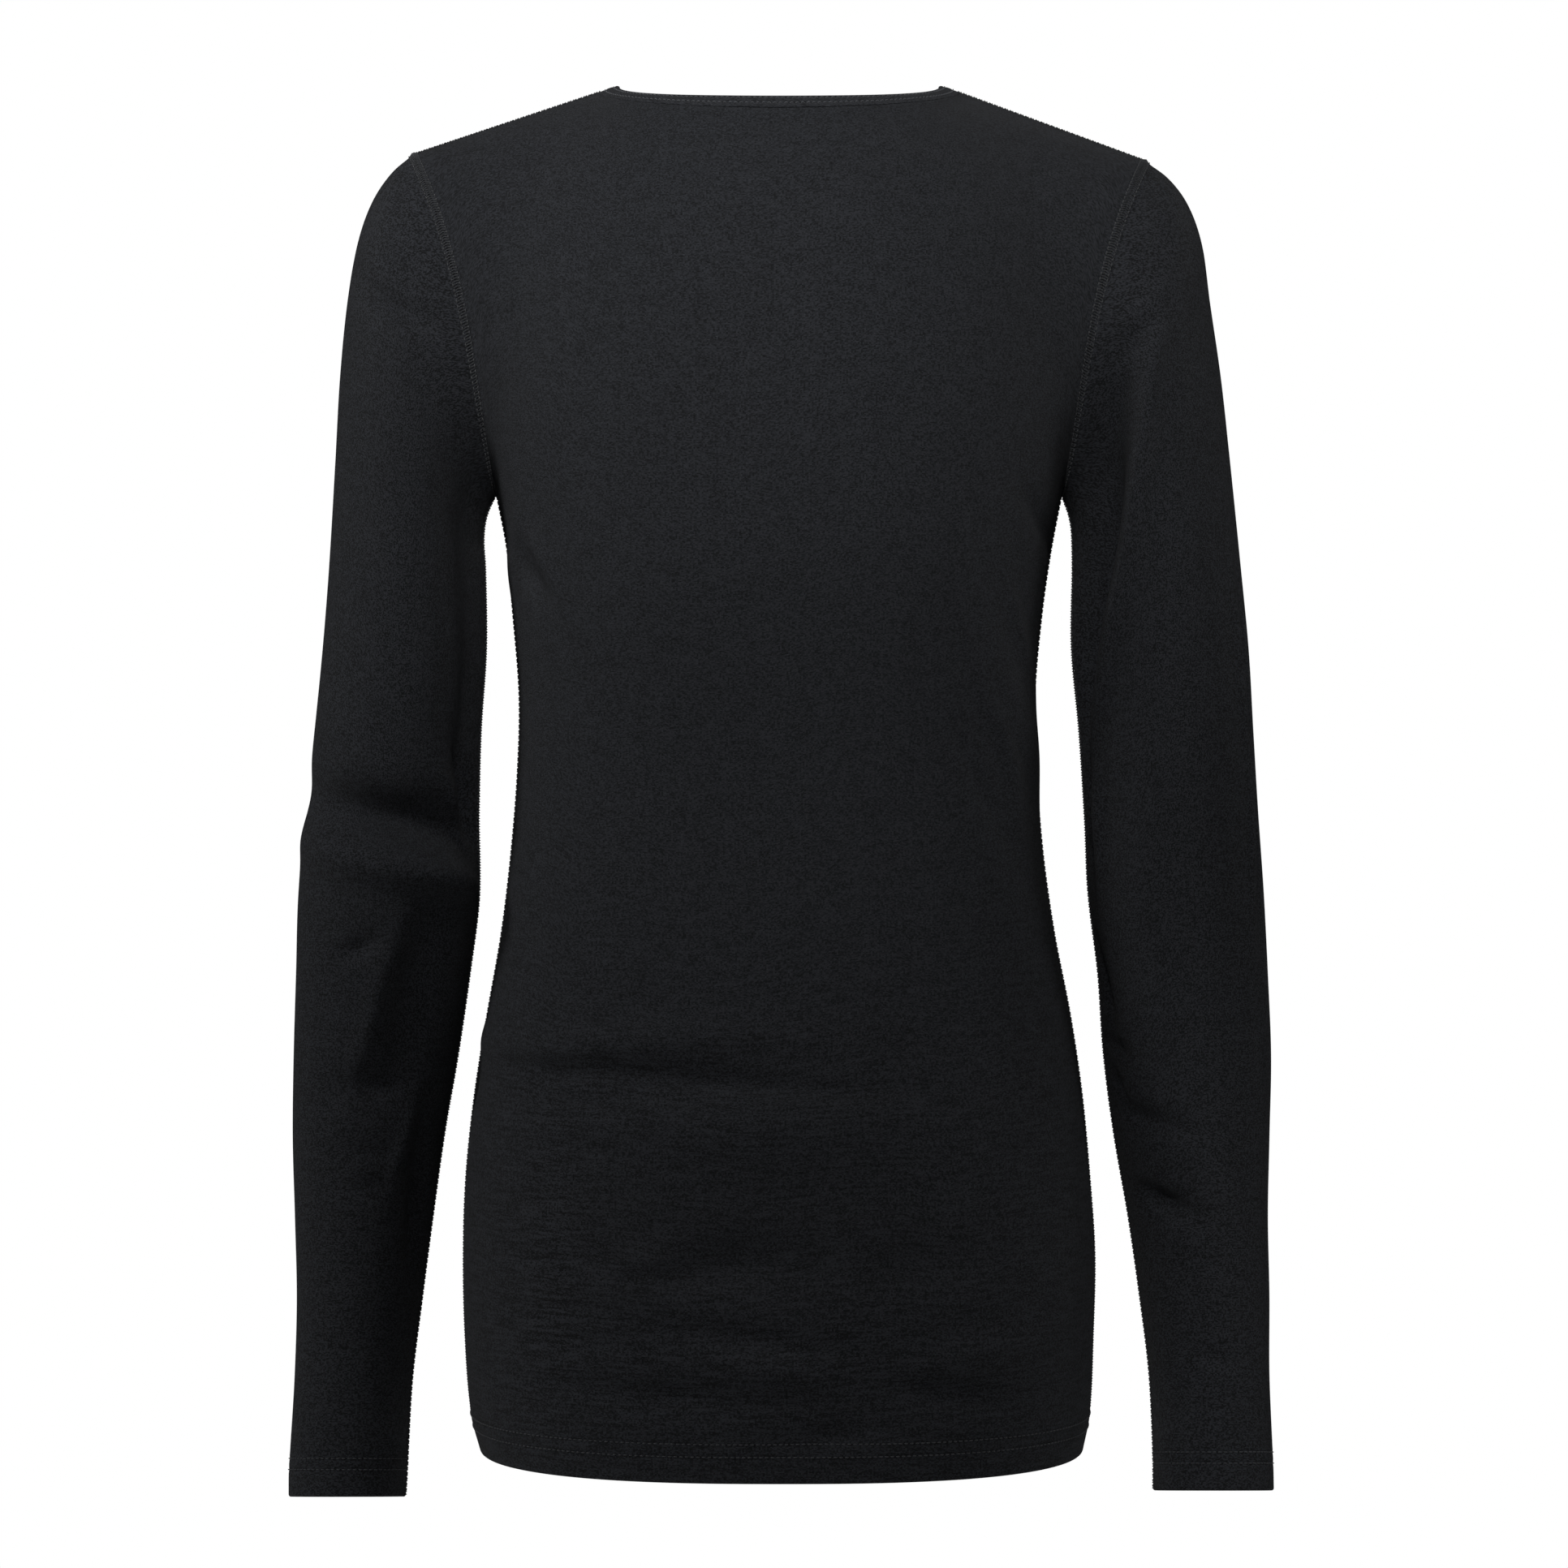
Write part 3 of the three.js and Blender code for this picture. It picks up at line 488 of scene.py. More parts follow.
def add_node(tree, kind, settings=None, values=None, links=None):
    """A shader node with its options, the values of its sockets, and the outputs that feed them."""
    node = tree.nodes.new("ShaderNode" + kind)
    for name, value in (settings or {}).items():
        setattr(node, name, value)
    for socket, value in (values or {}).items():
        node.inputs[socket].default_value = value
    for socket, source in (links or {}).items():
        tree.links.new(source, node.inputs[socket])
    return node


def new_material(name):
    material = bpy.data.materials.new(name)
    material.use_nodes = True
    material.node_tree.nodes.clear()
    return material, material.node_tree


def wool_jersey(name, dark, light, fuzz, grain, crosswise=False):
    """Near-black wool jersey, matt and a little hairy: a mottled yarn, level streaks and columns of stitches.
    The streaks are partly the yarn's own and partly painted shade of fine ripples, and the speckle grows
    stronger where the cloth ripples, which is painted shade too.
    grain is how strongly the tones of single stitches differ."""
    # Real fine jersey has about 20 columns in 10 mm. They are drawn coarser, to show from a step away
    wale, course = 0.75, 0.58
    material, tree = new_material(name)

    def math_node(operation, first, second=None):
        values, links = {}, {}
        for socket, source in enumerate((first, second)):
            if isinstance(source, (int, float)):
                values[socket] = source
            elif source is not None:
                links[socket] = source
        return add_node(tree, "Math", {"operation": operation}, values, links).outputs[0]

    def band_of(value, low, high):
        """0 below low, 1 above high, and a soft step between."""
        shape, limits = {"interpolation_type": "SMOOTHSTEP"}, {"From Min": low, "From Max": high}
        return add_node(tree, "MapRange", shape, limits, {"Value": value}).outputs[0]

    def mixed(share, first, second):
        values, links = {}, {0: share}
        for socket, color in ((6, first), (7, second)):
            if isinstance(color, str):
                values[socket] = rgb(color)
            else:
                links[socket] = color
        return add_node(tree, "Mix", {"data_type": "RGBA"}, values, links).outputs[2]

    def noise(scale, stretch, detail):
        spread = add_node(tree, "VectorMath", {"operation": "MULTIPLY"}, {1: stretch}, {0: cloth}).outputs[0]
        sizes = {"Scale": scale, "Detail": detail}
        return add_node(tree, "TexNoise", {}, sizes, {"Vector": spread}).outputs[0]

    cloth = add_node(tree, "Attribute", {"attribute_name": "cloth"}).outputs["Vector"]
    place = add_node(tree, "SeparateXYZ", {}, {}, {0: cloth})
    across, up = (place.outputs[1], place.outputs[0]) if crosswise else (place.outputs[0], place.outputs[1])
    ripples = place.outputs[2]

    # The legs of each stitch slope to the middle of its column
    leg = math_node("PINGPONG", across, wale / 2)
    slanted = math_node("ADD", up, math_node("MULTIPLY", leg, 1.3))
    loop = math_node("SINE", math_node("MULTIPLY", slanted, 2 * math.pi / course))
    column = math_node("SINE", math_node("MULTIPLY", leg, 2 * math.pi / wale))
    knit = math_node("ADD", math_node("MULTIPLY", loop, 0.3), column)

    # Each stitch takes a tone of its own from the mottled yarn, and flecks run on over a few stitches
    per_mm = (1 / wale, 1 / course, 0)
    counted = add_node(tree, "VectorMath", {"operation": "MULTIPLY"}, {1: per_mm}, {0: cloth})
    stitch = add_node(tree, "VectorMath", {"operation": "FLOOR"}, {}, {0: counted.outputs[0]}).outputs[0]
    own = add_node(tree, "TexWhiteNoise", {"noise_dimensions": "2D"}, {}, {"Vector": stitch}).outputs["Value"]
    fleck = noise(1.2, (0.6, 1.3, 0), 3)
    streak = noise(1, (0.055, 0.62, 0), 3)
    cloud = noise(0.12, (1, 1, 0), 4)
    # Where the cloth ripples, level streaks come in and the speckle grows stronger: painted shade of the fine
    # ripples, darker and lighter, on top of the yarn's own tones. The bump below draws the ripples
    # themselves.
    streak_and_painted_shade = math_node("ADD", math_node("MULTIPLY", ripples, 0.8), 0.1)
    speckle = math_node("MULTIPLY", math_node("SUBTRACT", own, 0.5), 0.3)
    speckle = math_node("ADD", speckle, math_node("MULTIPLY", math_node("SUBTRACT", fleck, 0.5), 0.5))
    speckle_and_painted_shade = math_node("ADD", math_node("MULTIPLY", ripples, 0.6), grain)
    mottle_and_painted_shade = math_node("ADD", math_node("MULTIPLY", speckle, speckle_and_painted_shade), 0.4)
    mottle_and_painted_shade = math_node("ADD", mottle_and_painted_shade, math_node("MULTIPLY", cloud, 0.12))
    mottle_and_painted_shade = math_node("ADD", mottle_and_painted_shade, math_node("MULTIPLY", math_node("SUBTRACT", streak, 0.5), streak_and_painted_shade))
    tone = band_of(mottle_and_painted_shade, 0.26, 0.66)
    color = mixed(tone, dark, light)

    # Loose hairs of the yarn stand up in patches and catch the light
    hair = band_of(noise(1.5, (0.6, 1.3, 0), 2), 0.6, 0.74)
    patch = band_of(noise(0.1, (1, 1, 0), 3), 0.42, 0.7)
    hairiness = math_node("ADD", math_node("MULTIPLY", patch, 0.16), 0.22)
    color = mixed(math_node("MULTIPLY", hair, hairiness), color, fuzz)

    ripple = noise(1, (0.045, 0.23, 0), 2)
    relief = math_node("ADD", math_node("MULTIPLY", knit, 0.3), math_node("MULTIPLY", fleck, 1.4))
    relief = math_node("ADD", relief, math_node("MULTIPLY", math_node("MULTIPLY", ripple, ripples), 8))
    bump = add_node(tree, "Bump", {}, {"Strength": 0.8, "Distance": 0.0003}, {"Height": relief})
    shader = add_node(
        tree,
        "BsdfPrincipled",
        {},
        {
            "Roughness": 0.86,
            "IOR": 1.55,
            "Specular IOR Level": 0.2,
            "Sheen Weight": 0.05,
            "Sheen Roughness": 0.5,
            "Sheen Tint": (1, 1, 1, 1),
        },
        {"Base Color": color, "Normal": bump.outputs[0]},
    )
    add_node(tree, "OutputMaterial", {}, {}, {"Surface": shader.outputs[0]})
    return material


body_jersey = wool_jersey("wool single jersey, body", "#151618", "#37393e", "#5c5f64", grain=0.8)
back_outer, back_inner, back_out, ripples = panel(-1, BACK_FOLDS)
back = cloth_piece("back_panel_cloth", back_outer, back_inner, 0, ripples, 1, body_jersey)
front_outer, front_inner, front_out, ripples = panel(1, FRONT_FOLDS)
front = cloth_piece("front_panel_cloth", front_outer, front_inner, 0, ripples, -1, body_jersey)
for piece, node in ((back, "back_panel"), (front, "front_panel")):
    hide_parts(node)


# Sleeves
# Each is one piece of the same jersey, closed by a seam under the arm and set into the armhole without
# gathers. The cuff is turned up once like the hem.
SLEEVE_SECTIONS = table(
    "out_z in_z out_left in_left out_right in_right mid_y half_y",
    (-33, -193, 174, 134.2, 174, 134.2, 0, 50),
    (-42, -195, 184.4, 135.3, 185, 135, 0, 51.5),
    (-56, -198, 193.6, 136.8, 194.4, 136, 0, 52.5),
    (-76, -201, 200.3, 138.1, 200.9, 137.1, -1, 52.5),
    (-104, -205, 205.1, 139.5, 204.7, 138.3, -1, 51.5),
    (-140, -211, 208.5, 140.5, 209.8, 139.3, -2, 50),
    (-181, -219, 210.7, 140.7, 214.2, 139.6, -3, 48),
    (-229, -232, 213.4, 139.8, 218.9, 139.6, -5, 46.5),
    (-268, -268, 216.3, 139.3, 222.5, 139.1, -7, 45),
    (-307, -307, 220, 141.7, 224.6, 142.5, -9, 44),
    (-345, -345, 224, 142.5, 226.7, 144.9, -11, 42),
    (-384, -384, 227.5, 142.3, 229.4, 146.8, -11, 40),
    (-422, -422, 228.9, 147, 231.6, 151.6, -8, 38),
    (-461, -461, 230.5, 153, 233.6, 154.6, -3, 36),
    (-500, -500, 231.5, 160, 233.4, 160, 3, 34.5),
    (-539, -539, 231, 165.8, 233.2, 167, 9, 33),
    (-578, -578, 230.6, 171.2, 234.4, 172.8, 14, 31.5),
    (-617, -617, 232.1, 176.2, 234.8, 177.7, 18, 30),
    (-657, -657, 234.8, 178.7, 236.7, 179.8, 21, 28.5),
    (-674, -674, 235.2, 179.8, 237.2, 180, 22, 28),
)
LAST_SECTION = len(SLEEVE_SECTIONS["out_z"]) - 1
SLEEVE_SECTIONS["index"] = np.arange(LAST_SECTION + 1.0)
CUFF_TILT = {"slope": 0.135, "from": 15, "to": 18.5}  # lifts the back edge more and more towards the cuff
RIGHT_CUFF_RISE = {"most": 3, "from": 12, "to": 19}  # the right sleeve ends a little higher than the left one
CAP_BLEND = 2
CUFF_ROWS = (13.2, 18.6)
CUFF_STEPS = (0, 0.2, 0.6, 1.2, 2.4, 5, 8, 11.4, 12.5, 13.2, 13.9, 15.8, 17.9, 18.6, 19.3, 20.2, 21, 22.2)
AROUND = 116
ALONG = 260
SLEEVE_FINE_POINTS = {"along": 761, "around": 721}
FOLD_FREE_SECTIONS = 3
SLEEVE_FOLD_RADIUS = 40  # turns an angle round the arm into a length
SLEEVE_FOLD_FADE = 10
CUFF_FOLD_FADE = (16, 40)
# How much the sleeves ripple all over: it sets their ripple bump and the painted shade of ripples in their
# colour
SLEEVE_RIPPLES = 0.2

# The angle goes round the arm: 0 at the outer edge, 90 at the back and 180 at the underarm seam
LEFT_SLEEVE_FOLDS = table(
    "z angle turn along across depth",
    # drag lines that fan out from the armhole seam
    (-78, 78, -52, 12, 2.8, -1.5),
    (-89, 70, -49, 15, 2.8, 2),
    (-97, 68, -44, 18, 3.2, -2.5),
    (-106, 78, -45, 14, 2.8, 2),
    (-113, 72, -34, 24, 5.5, -5.4),
    (-124, 86, -34, 20, 4.5, 2.2),
    # the elbow: a hollow over a bulge, and a sharp edge where they end inside the arm
    (-347, 96, -10, 46, 11, -14),
    (-371, 96, -12, 46, 9, 7.6),
    (-377, 138, -10, 14, 8, 4.8),
    (-346, 146, -58, 25, 3.6, 3.6),
    (-334, 161, -62, 26, 7, -7),
    # a slanting hollow below the elbow, and a dent beside it
    (-434, 92, 77, 40, 6, 2.7),
    (-430, 117, 82, 42, 12, -8),
    (-409, 76, 20, 10, 5, -3.8),
    (-473, 92, 6, 22, 9, -4.5),
    # towards the wrist
    (-500, 123, 76, 20, 4, 2.5),
    (-528, 144, -86, 38, 9, -5.2),
    (-505, 92, -8, 20, 4, -1.7),
    (-521, 100, 6, 18, 4, -1.5),
    (-598, 84, -6, 16, 4, -1.5),
    # under the arm
    (-226, 150, -86, 54, 12, -4.4),
    (-300, 156, -85, 38, 10, -4.6),
    # the side that shows from the front
    (-368, 238, 14, 36, 9, -8),
    (-386, 246, 20, 30, 8, 5.4),
    (-470, 232, 30, 34, 9, -5.4),
    (-128, 292, 34, 26, 6, -4.2),
    (-152, 280, 36, 26, 6, -3.8),
)
RIGHT_SLEEVE_FOLDS = table(
    "z angle turn along across depth",
    # drag lines that fan out from the armhole seam
    (-88, 72, -58, 14, 2.8, -1.8),
    (-99, 79, -56, 16, 2.8, 2),
    (-108, 83, -54, 17, 3.2, -2.8),
    (-118, 87, -43, 18, 2.8, 2),
    (-126, 91, -43, 20, 3.6, -3.4),
    # a long ridge from the cap down to the inside of the elbow, with a hollow behind it
    (-140, 84, -72, 30, 4.5, 3.4),
    (-196, 107, -76, 40, 7.5, 6),
    (-252, 127, -77, 38, 7, 5.4),
    (-296, 145, -70, 24, 5.5, 2.6),
    (-152, 106, -72, 28, 8, -6.4),
    (-206, 136, -76, 52, 13, -14),
    (-262, 154, -78, 42, 10, -12),
    # the inside of the elbow
    (-348, 151, -88, 28, 4.5, 4),
    (-345, 166, -88, 26, 5, -5.1),
    (-427, 163, 73, 22, 4, -3.6),
    (-456, 152, 20, 12, 3.5, -2.8),
    (-475, 155, 60, 12, 4, -3.4),
    (-490, 128, 14, 22, 5, -4),
    (-530, 122, 19, 18, 6, -7.6),
    (-604, 88, 8, 16, 4, -1.5),
    # a line down the outer side
    (-285, 31, 88, 56, 3.2, 2),
    (-290, 20, 88, 56, 4, -3.1),
    (-365, 31, -85, 36, 3.2, 1.8),
    (-365, 21, -85, 36, 4, -2.5),
    # the side that shows from the front
    (-370, 240, -16, 34, 9, -7.7),
    (-392, 250, -22, 30, 8, 5.1),
    (-132, 288, -36, 28, 6, -4.2),
    (-480, 236, -28, 32, 9, -5.1),
)


def sleeve_point(hand, section, angle):
    """A point of a sleeve. section counts along SLEEVE_SECTIONS, and angle is in radians."""
    def read(key):
        return through(SLEEVE_SECTIONS, "index", key, section)

    name = "left" if hand < 0 else "right"
    height = np.cos(angle)
    share = (1 + height) / 2
    bow_fade = np.exp(-((section / CAP_BLEND) ** 2))
    bow = bow_fade * ARMHOLE["bow"] * (1 - height**2) * (1 + ARMHOLE["bow_lean"] * height)
    from_middle = -read("half_y") * np.sin(angle)
    tilt = CUFF_TILT["slope"] * smoothstep(section, CUFF_TILT["from"], CUFF_TILT["to"])
    out_z = read("out_z") + bow_fade * (tip_z(hand) - SHOULDER_TIP["left_z"])
    x = hand * (lerp(read("in_" + name), read("out_" + name), share) - bow)
    z = lerp(read("in_z"), out_z, share) - tilt * from_middle
    if hand > 0:
        z = z + RIGHT_CUFF_RISE["most"] * smoothstep(section, RIGHT_CUFF_RISE["from"], RIGHT_CUFF_RISE["to"])
    return point(x, read("mid_y") + from_middle, z)


def sleeve(hand, folds):
    """The two faces of a sleeve and its directions outwards, from armhole to cuff and round the arm."""
    sections = np.linspace(0, LAST_SECTION, SLEEVE_FINE_POINTS["along"])[:, None]
    angles = np.linspace(math.pi, 3 * math.pi, SLEEVE_FINE_POINTS["around"])[None, :]
    raw = sleeve_point(hand, sections, angles)
    marks = point(0, angles, sections)[..., 1:]
    grid = respace(np.concatenate([raw, marks], axis=2), SEAM_STEPS, SEAM_STEPS, AROUND)
    grid = respace(grid.swapaxes(0, 1), SEAM_STEPS, CUFF_STEPS, ALONG).swapaxes(0, 1)
    base, angle, section = grid[..., :3], grid[..., 3], grid[..., 4]

    directions = directions_of(base, hand)
    directions[:, 0] = directions[:, -1] = unit(directions[:, 0] + directions[:, -1])
    from_top = np.minimum(angle[0] % (2 * math.pi), 2 * math.pi - angle[0] % (2 * math.pi))
    side = np.where(angle[0] < 2 * math.pi, 1, -1)
    directions[0] = armhole_outward(hand, side, from_top)

    def around(fold):
        turned = (np.degrees(angle) - fold["angle"] + 180) % 360 - 180
        return np.radians(turned) * SLEEVE_FOLD_RADIUS

    run, length = run_of(base, 1), run_of(base, 0)
    from_seam = np.minimum(np.minimum(run, run[:, -1:] - run), length)
    from_cuff = length[-1] - length
    lift = fold_lift(folds, around, base[..., 2]) * smoothstep(section, 0, FOLD_FREE_SECTIONS)
    lift *= smoothstep(np.minimum(run, run[:, -1:] - run), 0, SLEEVE_FOLD_FADE)
    lift *= smoothstep(from_cuff, *CUFF_FOLD_FADE)
    lift += seam_lift(from_seam) + hem_lift(from_cuff, CUFF_ROWS)
    outer, inner = both_faces(base + directions * lift[..., None], directions, from_cuff)
    return outer, inner, directions


sleeve_jersey = wool_jersey("wool single jersey, sleeves", "#151618", "#37393e", "#5c5f64", grain=1.4)
sleeves = {}
for hand, name, folds in ((-1, "left", LEFT_SLEEVE_FOLDS), (1, "right", RIGHT_SLEEVE_FOLDS)):
    outer, inner, out = sleeve(hand, folds)
    piece = cloth_piece("sleeve_" + name + "_cloth", outer, inner, -1, SLEEVE_RIPPLES, hand, sleeve_jersey)
    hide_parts("sleeve_" + name)
    sleeves[name] = (piece, outer, out)


# Flatlock seams
# The cloth edges are lapped and covered by threads: a needle row on each side and threads that cross between.
# The armhole seams show from behind. Sides, shoulders and underarms are sewn the same way.
THREAD = 0.5  # drawn thicker than life, so that the rows show from a step away
STITCH_PITCH = 2.6
STITCH_LENGTH = 1.6
LADDER_PITCH = 1.3
LADDER_RISE = 0.7  # how far a crossing thread stands off the seam, in thread widths
LADDER_RADII = (0.3, 0.45, 0.3)  # in thread widths: one end, the middle, the other end
ROW_SWELL = 1.25  # the threads of the needle rows swell where nothing crosses them
# Along a stitch: the share of its length, the thread's width, and how high its middle lies
STITCH_PROFILE = ((0, 0.3, -0.5), (0.12, 0.85, 0.3), (0.5, 1, 0.75), (0.88, 0.85, 0.3), (1, 0.3, -0.5))


def tubes(centres, normals, radii, sides):
    """Threads: centres and normals give (thread, ring, xyz), and radii one for each ring."""
    along = unit(np.gradient(centres, axis=1))
    beside = unit(np.cross(along, normals))
    above = unit(np.cross(beside, along))
    turn = np.arange(sides + 1) % sides / sides * 2 * math.pi
    ring = beside[:, :, None] * np.cos(turn)[:, None] + above[:, :, None] * np.sin(turn)[:, None]
    corners = centres[:, :, None] + ring[:, :, :sides] * np.asarray(radii)[:, None, None]
    count, rings = centres.shape[:2]
    numbers = np.arange(count * rings * sides).reshape(count, rings, sides)
    numbers = np.concatenate([numbers, numbers[..., :1]], axis=2)
    quads = (numbers[:, :-1, :-1], numbers[:, :-1, 1:], numbers[:, 1:, 1:], numbers[:, 1:, :-1])
    return corners.reshape(-1, 3), np.stack(quads, axis=-1).reshape(-1, 4)


def along_path(path, normals, places):
    length = run_of(path[None], 1)[0]
    values = [[np.interp(places, length, line[:, k]) for k in range(3)] for line in (path, normals)]
    spots, up = (np.stack(value, axis=-1) for value in values)
    return spots, unit(up)


def needle_row(path, normals):
    """A row of stitches along a path, each lying on the cloth and dipping into it at both ends."""
    total = run_of(path[None], 1)[0, -1]
    starts = np.arange(0, total - STITCH_LENGTH, STITCH_PITCH)
    share, width, height = np.array(STITCH_PROFILE).T
    centres, up = along_path(path, normals, starts[:, None] + share * STITCH_LENGTH)
    return tubes(centres + up * (height * THREAD)[:, None], up, width * THREAD / 2 * ROW_SWELL, sides=5)


def ladder(first, second, middle):
    """Threads that cross a seam from one needle row to the other. Each argument is a path and its normals."""
    count = int(run_of(middle[0][None], 1)[0, -1] / LADDER_PITCH)
    lines = []
    for path, normals in (first, middle, second):
        total = run_of(path[None], 1)[0, -1]
        lines.append(along_path(path, normals, np.linspace(0, total, 2 * count + 1)))
    (left, left_up), (centre, up), (right, right_up) = lines
    centres = np.stack([left[:-2:2], centre[1:-1:2] + up[1:-1:2] * THREAD * LADDER_RISE, right[2::2]], axis=1)
    normals = np.stack([left_up[:-2:2], up[1:-1:2], right_up[2::2]], axis=1)
    return tubes(centres, normals, [THREAD * radius for radius in LADDER_RADII], sides=4)


def sewing(name, material, *parts):
    """One object made of several sets of threads."""
    vertices, faces, count = [], [], 0
    for corners, quads in parts:
        vertices.append(corners)
        faces.append(quads + count)
        count += len(corners)
    return mesh_piece(name, np.concatenate(vertices), np.concatenate(faces), material)


def flatlock(first, second, middle):
    return needle_row(*first), needle_row(*second), ladder(first, second, middle)


def polyester_thread(name, color):
    """Spun polyester thread: a touch lighter and smoother than the wool, so each stitch shows."""
    material, tree = new_material(name)
    place = add_node(tree, "TexCoord").outputs["Object"]
    twist = add_node(tree, "TexNoise", {}, {"Scale": 1600, "Detail": 1}, {"Vector": place}).outputs[0]
    bump = add_node(tree, "Bump", {}, {"Strength": 0.4, "Distance": 0.0001}, {"Height": twist})
    values = {"Base Color": rgb(color), "Roughness": 0.5, "IOR": 1.57, "Sheen Weight": 0.2}
    shader = add_node(tree, "BsdfPrincipled", {}, values, {"Normal": bump.outputs[0]})
    add_node(tree, "OutputMaterial", {}, {}, {"Surface": shader.outputs[0]})
    return material


seam_thread = polyester_thread("spun polyester thread, seams", "#343639")
neck_thread = polyester_thread("spun polyester thread, neck", "#4e5055")
low = len(HEM_STEPS) + LOWER_ROWS - 1  # the row at the underarm
seam_sewing = {}
for name, edge, hand in (("left", 0, -1), ("right", -1, 1)):
    step = NEEDLE_STEP if hand < 0 else -1 - NEEDLE_STEP
    piece, outer, out = sleeves[name]
    parts = []
    half = (outer.shape[1] - 1) // 2
    for grid, normals, ring in (
        (back_outer, back_out, slice(None, half - 1, -1)),
        (front_outer, front_out, slice(0, half + 1)),
    ):
        body_row = (grid[low:, step], normals[low:, step])
        seam = (grid[low:, edge], normals[low:, edge])
        arm_row = (outer[NEEDLE_STEP, ring], out[NEEDLE_STEP, ring])
        parts += flatlock(body_row, arm_row, seam)
    seam_sewing["armhole_" + name] = sewing("armhole_seam_" + name, seam_thread, *parts)

    rows = slice(2, low + 1)
    first = (back_outer[rows, step], back_out[rows, step])
    second = (front_outer[rows, step], front_out[rows, step])
    middle = (back_outer[rows, edge], back_out[rows, edge])
    sewn = flatlock(first, second, middle)
    seam_sewing["side_" + name] = sewing("side_seam_" + name, seam_thread, *sewn)

    reach, needle = len(SEAM_STEPS) + SHOULDER_COLUMNS, -1 - NEEDLE_STEP
    columns = slice(0, reach) if hand < 0 else slice(-reach, None)
    lines = [(back_outer, back_out, needle), (front_outer, front_out, needle), (back_outer, back_out, -1)]
    sewn = flatlock(*((grid[row, columns], normals[row, columns]) for grid, normals, row in lines))
    seam_sewing["shoulder_" + name] = sewing("shoulder_seam_" + name, seam_thread, *sewn)

    sewn = flatlock(*((outer[:-2, column], out[:-2, column]) for column in (NEEDLE_STEP, needle, 0)))
    seam_sewing["underarm_" + name] = sewing("underarm_seam_" + name, seam_thread, *sewn)


# Neck binding
# A narrow strip of the jersey, folded over the neck edge and held by two rows of stitching that show outside.
# Its stitches of knitting lie crosswise to those of the body.
BINDING = {"width": 9, "proud": 0.4, "wall": 2, "dome": 0.35, "needle_pull": 0.3, "needle_reach": 0.6}
BINDING_ROWS = (2.1, 6.4)  # above the neck seam
BINDING_STATIONS = 240


def binding_place(turn, up, out):
    """A point of the binding, up from the neck seam and out from the cloth, and its direction outwards."""
    side = np.where(np.sin(turn) >= 0, -1, 1)
    angle = np.arccos(np.cos(turn))
    seam = np.where(side[..., None] < 0, neck_seam_point(-1, angle), neck_seam_point(1, angle))
    middle = np.sin(angle) ** 2
    run, fall = SHOULDER_TIP["x"] - NECK_SEAM["half_width"], NECK_SEAM["side_z"] - SHOULDER_TIP["left_z"]
    slope = math.hypot(run, fall)
    lean = [np.where(side < 0, NECK_LEAN["back"][k], NECK_LEAN["front"][k]) for k in (0, 1)]
    inward = lerp(run / slope, lean[0], middle)
    rise = lerp(fall / slope, lean[1], middle)
    radial = point(np.cos(angle), side * np.sin(angle), 0)
    upward = unit(-radial * inward[..., None] + point(0, 0, rise))
    outward = unit(radial * rise[..., None] + point(0, 0, inward))
    return seam + upward * up[..., None] + outward * out[..., None], outward


def binding_face(up):
    """How far the outer face of the binding stands out: gently domed between its needle rows."""
    dome = BINDING["dome"] * np.sin(math.pi * np.clip(up / BINDING["width"], 0, 1))
    rows = sum(np.exp(-(((up - row) / BINDING["needle_reach"]) ** 2)) for row in BINDING_ROWS)
    return BINDING["proud"] + dome - BINDING["needle_pull"] * rows


turns = np.linspace(math.pi, 3 * math.pi, BINDING_STATIONS + 1)
fold_radius = BINDING["wall"] / 2
face_ups = np.array([0, 0.6, 1.2, 1.7, 2.1, 2.5, 3.1, 3.8, 4.6, 5.3, 5.8, 6.4, 7, 7.5, 8])
# A short lip at the foot of the binding lies over the panels' neck edge
lip_ups, lip_outs = np.array([0, -1.1, -1.2, -0.8]), np.array([0.05, 0.05, 0.12, 0.3])
fold_turns = np.linspace(0, math.pi, 9)[1:-1]
fold_up = BINDING["width"] - fold_radius + fold_radius * np.sin(fold_turns)
profile_up = np.concatenate([lip_ups, face_ups, fold_up, face_ups[::-3]])
fold_out = BINDING["proud"] - fold_radius + fold_radius * np.cos(fold_turns)
back_out_level = np.full(len(face_ups[::-3]), BINDING["proud"] - BINDING["wall"])
profile_out = np.concatenate([lip_outs, binding_face(face_ups), fold_out, back_out_level])
profile_up, profile_out = np.append(profile_up, lip_ups[0]), np.append(profile_out, lip_outs[0])
all_round = np.broadcast_to(turns, (len(profile_up), len(turns)))
band = binding_place(all_round, profile_up[:, None], profile_out[:, None])[0]
numbers = np.arange(band.shape[0] * band.shape[1]).reshape(band.shape[:2])
band_faces, band_cloth = grid_faces(numbers)[:, ::-1], cloth_places(band, 0, 0).reshape(-1, 3)
binding_jersey = wool_jersey(
    "wool single jersey, binding", "#16171a", "#3a3c41", "#5c5f64", grain=1, crosswise=True
)
binding = mesh_piece("neck_binding_cloth", band.reshape(-1, 3), band_faces, binding_jersey, band_cloth)
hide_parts("neck_binding")
rows = []
for up in BINDING_ROWS:
    path, normals = binding_place(turns, np.full(turns.shape, up), binding_face(np.full(turns.shape, up)))
    rows.append(needle_row(path, normals))
neck_sewing = sewing("neck_binding_stitching", neck_thread, *rows)


